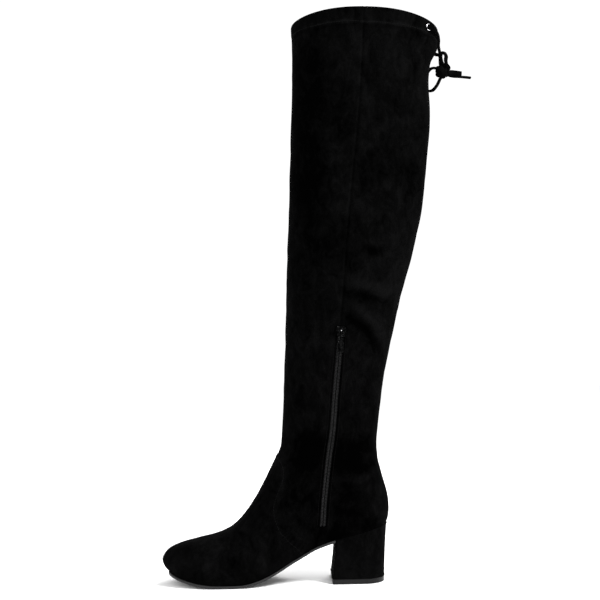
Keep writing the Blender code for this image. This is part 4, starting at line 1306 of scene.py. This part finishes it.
def rounded_tip(edge, middle):
    """An edge with rows before it that round its front off to the sole's middle."""
    share = np.array([0.12, 0.35, 0.55, 0.72, 0.87])
    x = middle + (edge[0, 0] - middle) * share
    y = edge[0, 1] - SOLE_TIP_DEPTH * (1 - share**2)
    return np.vstack([np.column_stack([x, y]), edge])


def rounded_plate(inner, outer, thick, corner):
    """Sections of a plate under the upper between two edges, with round lower and upper corners."""
    across = unit(np.column_stack([inner - outer, np.zeros(len(inner))]))
    leans = np.linspace(0, math.pi / 2, SOLE_CORNER_STEPS)
    rise = [(corner * (1 - np.sin(t)), corner * (1 - np.cos(t))) for t in leans]
    profile = rise + [(back, thick - up) for back, up in rise[::-1]]
    sides = []
    for edge, way in ((inner, 1), (outer, -1)):
        bottom = sole_height(edge[:, 1]) - SOLE_GAP - thick
        for back, up in profile[::-way]:
            sides.append(np.column_stack([edge, bottom + up]) - way * across * back)
    return np.stack(sides, axis=1)


def add_outsole():
    breast = BREAST_TOP - GAP
    tip = y_of(SOLE["station"][-1])
    y = tip + (1 - np.cos(np.linspace(0.0285, 0.5, SOLE_ROWS) * math.pi)) * (breast - tip)
    edges = [sole_edge(y, side) for side in (1, -1)]
    middle = (edges[0][0, 0] + edges[1][0, 0]) / 2
    edges = [offset(rounded_tip(edge, middle), side, OUTSOLE_LEDGE) for edge, side in zip(edges, (1, -1))]
    edges = [skewed(edge, smoothstep(breast - BREAST_BLEND, breast, edge[:, 1])) for edge in edges]
    sections = rounded_plate(*edges, OUTSOLE_THICKNESS, SOLE_CORNER)
    sole = put("outsole_shaped", *tube(sections), RUBBER, "outsole")
    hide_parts("outsole")


def heel_rows(breast, back):
    """Rows from the breast to the back, with close ones round the breast's corners."""
    corner = breast + HEEL_CORNER * (1 - np.cos(np.linspace(0, 0.5, 8) * math.pi))
    share = np.sin(np.linspace(0, 0.995, HEEL_ROWS)[1:] * math.pi / 2)
    return np.concatenate([corner, corner[-1] + (back - corner[-1]) * share])


def heel_corner(y, breast):
    """How far the heel's side is drawn in where it rounds into the breast."""
    t = np.clip((y - breast) / HEEL_CORNER, 0, 1)
    return HEEL_CORNER * (1 - np.sqrt(1 - (1 - t) ** 2))


def heel_outline(side, level):
    """One side of the heel's outline, from the floor (0) to the sole line (1), seen from above."""
    y_top, y_low = heel_rows(BREAST_TOP, COUNTER_LINE[0, 0]), heel_rows(BREAST_BOTTOM, HEEL_BOTTOM_BACK)
    top = sole_edge(y_top, side)
    top[:, 0] -= side * heel_corner(y_top, BREAST_TOP)
    top = skewed(top, np.clip(y_top / BREAST_TOP, 0, 1))
    left = 1 - np.clip((HEEL_BOTTOM_BACK - y_low) / HEEL_BOTTOM_HALF, 0, 1)
    half = HEEL_BOTTOM_HALF * (1 - left**SECTION_POWER) ** (1 / SECTION_POWER)
    low = np.column_stack([side * (half - heel_corner(y_low, BREAST_BOTTOM)), y_low])
    low = skewed(low, np.clip(y_low / BREAST_BOTTOM, 0, 1))
    return low + (top - low) * level


def add_heel():
    """The covered block, slightly waisted."""
    base = HEEL_TIP_THICKNESS + GAP
    sections = []
    for level in 1 - (1 - np.linspace(0, 1, HEEL_LEVELS)) ** 1.3:
        flare = HEEL_FLARE * ridges(level, (0, 0.03, 1), (1, 0.03, 0.4))
        amount = flare - HEEL_WAIST * math.sin(math.pi * level) - HEEL_INSET
        inner, outer = (offset(heel_outline(side, level), side, amount) for side in (1, -1))
        loop = np.vstack([inner, outer[::-1]])
        top = sole_height(loop[:, 1]) - SOLE_GAP
        sections.append(np.column_stack([loop, base + (top - base) * level]))
    points, faces = tube(np.array(sections))
    block = put("heel_cover", points, faces, SUEDE, "heel_cover", smooth=45)
    y, z = points[:, 1] / MM, points[:, 2] / MM
    # Lighter round y = 10 mm and darker round 48 mm up.
    set_nap_and_shade(block, 0.05 + ridges(y, (10, 16, 0.10)) + ridges(z, (48, 9, -0.1)))
    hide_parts("heel_block")


add_outsole()
add_heel()


# Eyelets.

EYELET_Y = 75 * MM
EYELET_HEIGHT = 593 * MM
EYELET_STEPS = 48
# The ring's section in mm, as radius and height over the surface: the roll's middle and its half
# width and height, and the barrel behind it.
ROLL_MIDDLE = np.array([3.3, 0.35])
ROLL_SIZE = np.array([0.7, 0.75])
ROLL_ANGLES = np.linspace(-0.35, math.pi + 0.5, 12)
BARREL = ((2.65, -0.4), (2.65, -4.2), (3.8, -4.2), (3.8, -3.7), (3.0, -3.5), (3.0, 0.35))


def add_eyelet(name, side):
    """A polished rolled ring, turned about the CAD eyelet's own bore."""
    step = 0.5 * MM
    x = surface_x(EYELET_Y + np.array([0, step, 0]), EYELET_HEIGHT + np.array([0, 0, step]), side)
    centre = np.array([x[0], EYELET_Y, EYELET_HEIGHT])
    across = unit(np.array([x[1] - x[0], step, 0]) * side)
    out = unit(np.cross(across, (x[2] - x[0], 0, step)))
    up = np.cross(out, across)
    roll = ROLL_MIDDLE + ROLL_SIZE * np.column_stack([np.cos(ROLL_ANGLES), np.sin(ROLL_ANGLES)])
    radius, height = (np.vstack([roll, BARREL]) * MM).T[..., None]
    turn = turns(EYELET_STEPS)[:, None, None]
    spoke = np.cos(turn) * across + np.sin(turn) * up
    piece = put(f"{name}_ring", *hoop(centre + radius * spoke + height * out), SILVER, "eyelet")
    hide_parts(name)


add_eyelet("eyelet_medial", 1)
add_eyelet("eyelet_lateral", -1)


# The CAD nodes that stay take their own finishes.
KEPT = {
    "insole": SOCK,
    "zip_tape": TAPE,
    "zip_slider": GUNMETAL,
    "zip_pull_tab": GUNMETAL,
    "heel_top_piece": TIP,
}
for node, finish in KEPT.items():
    for part_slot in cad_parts[node].material_slots:
        part_slot.material = finish
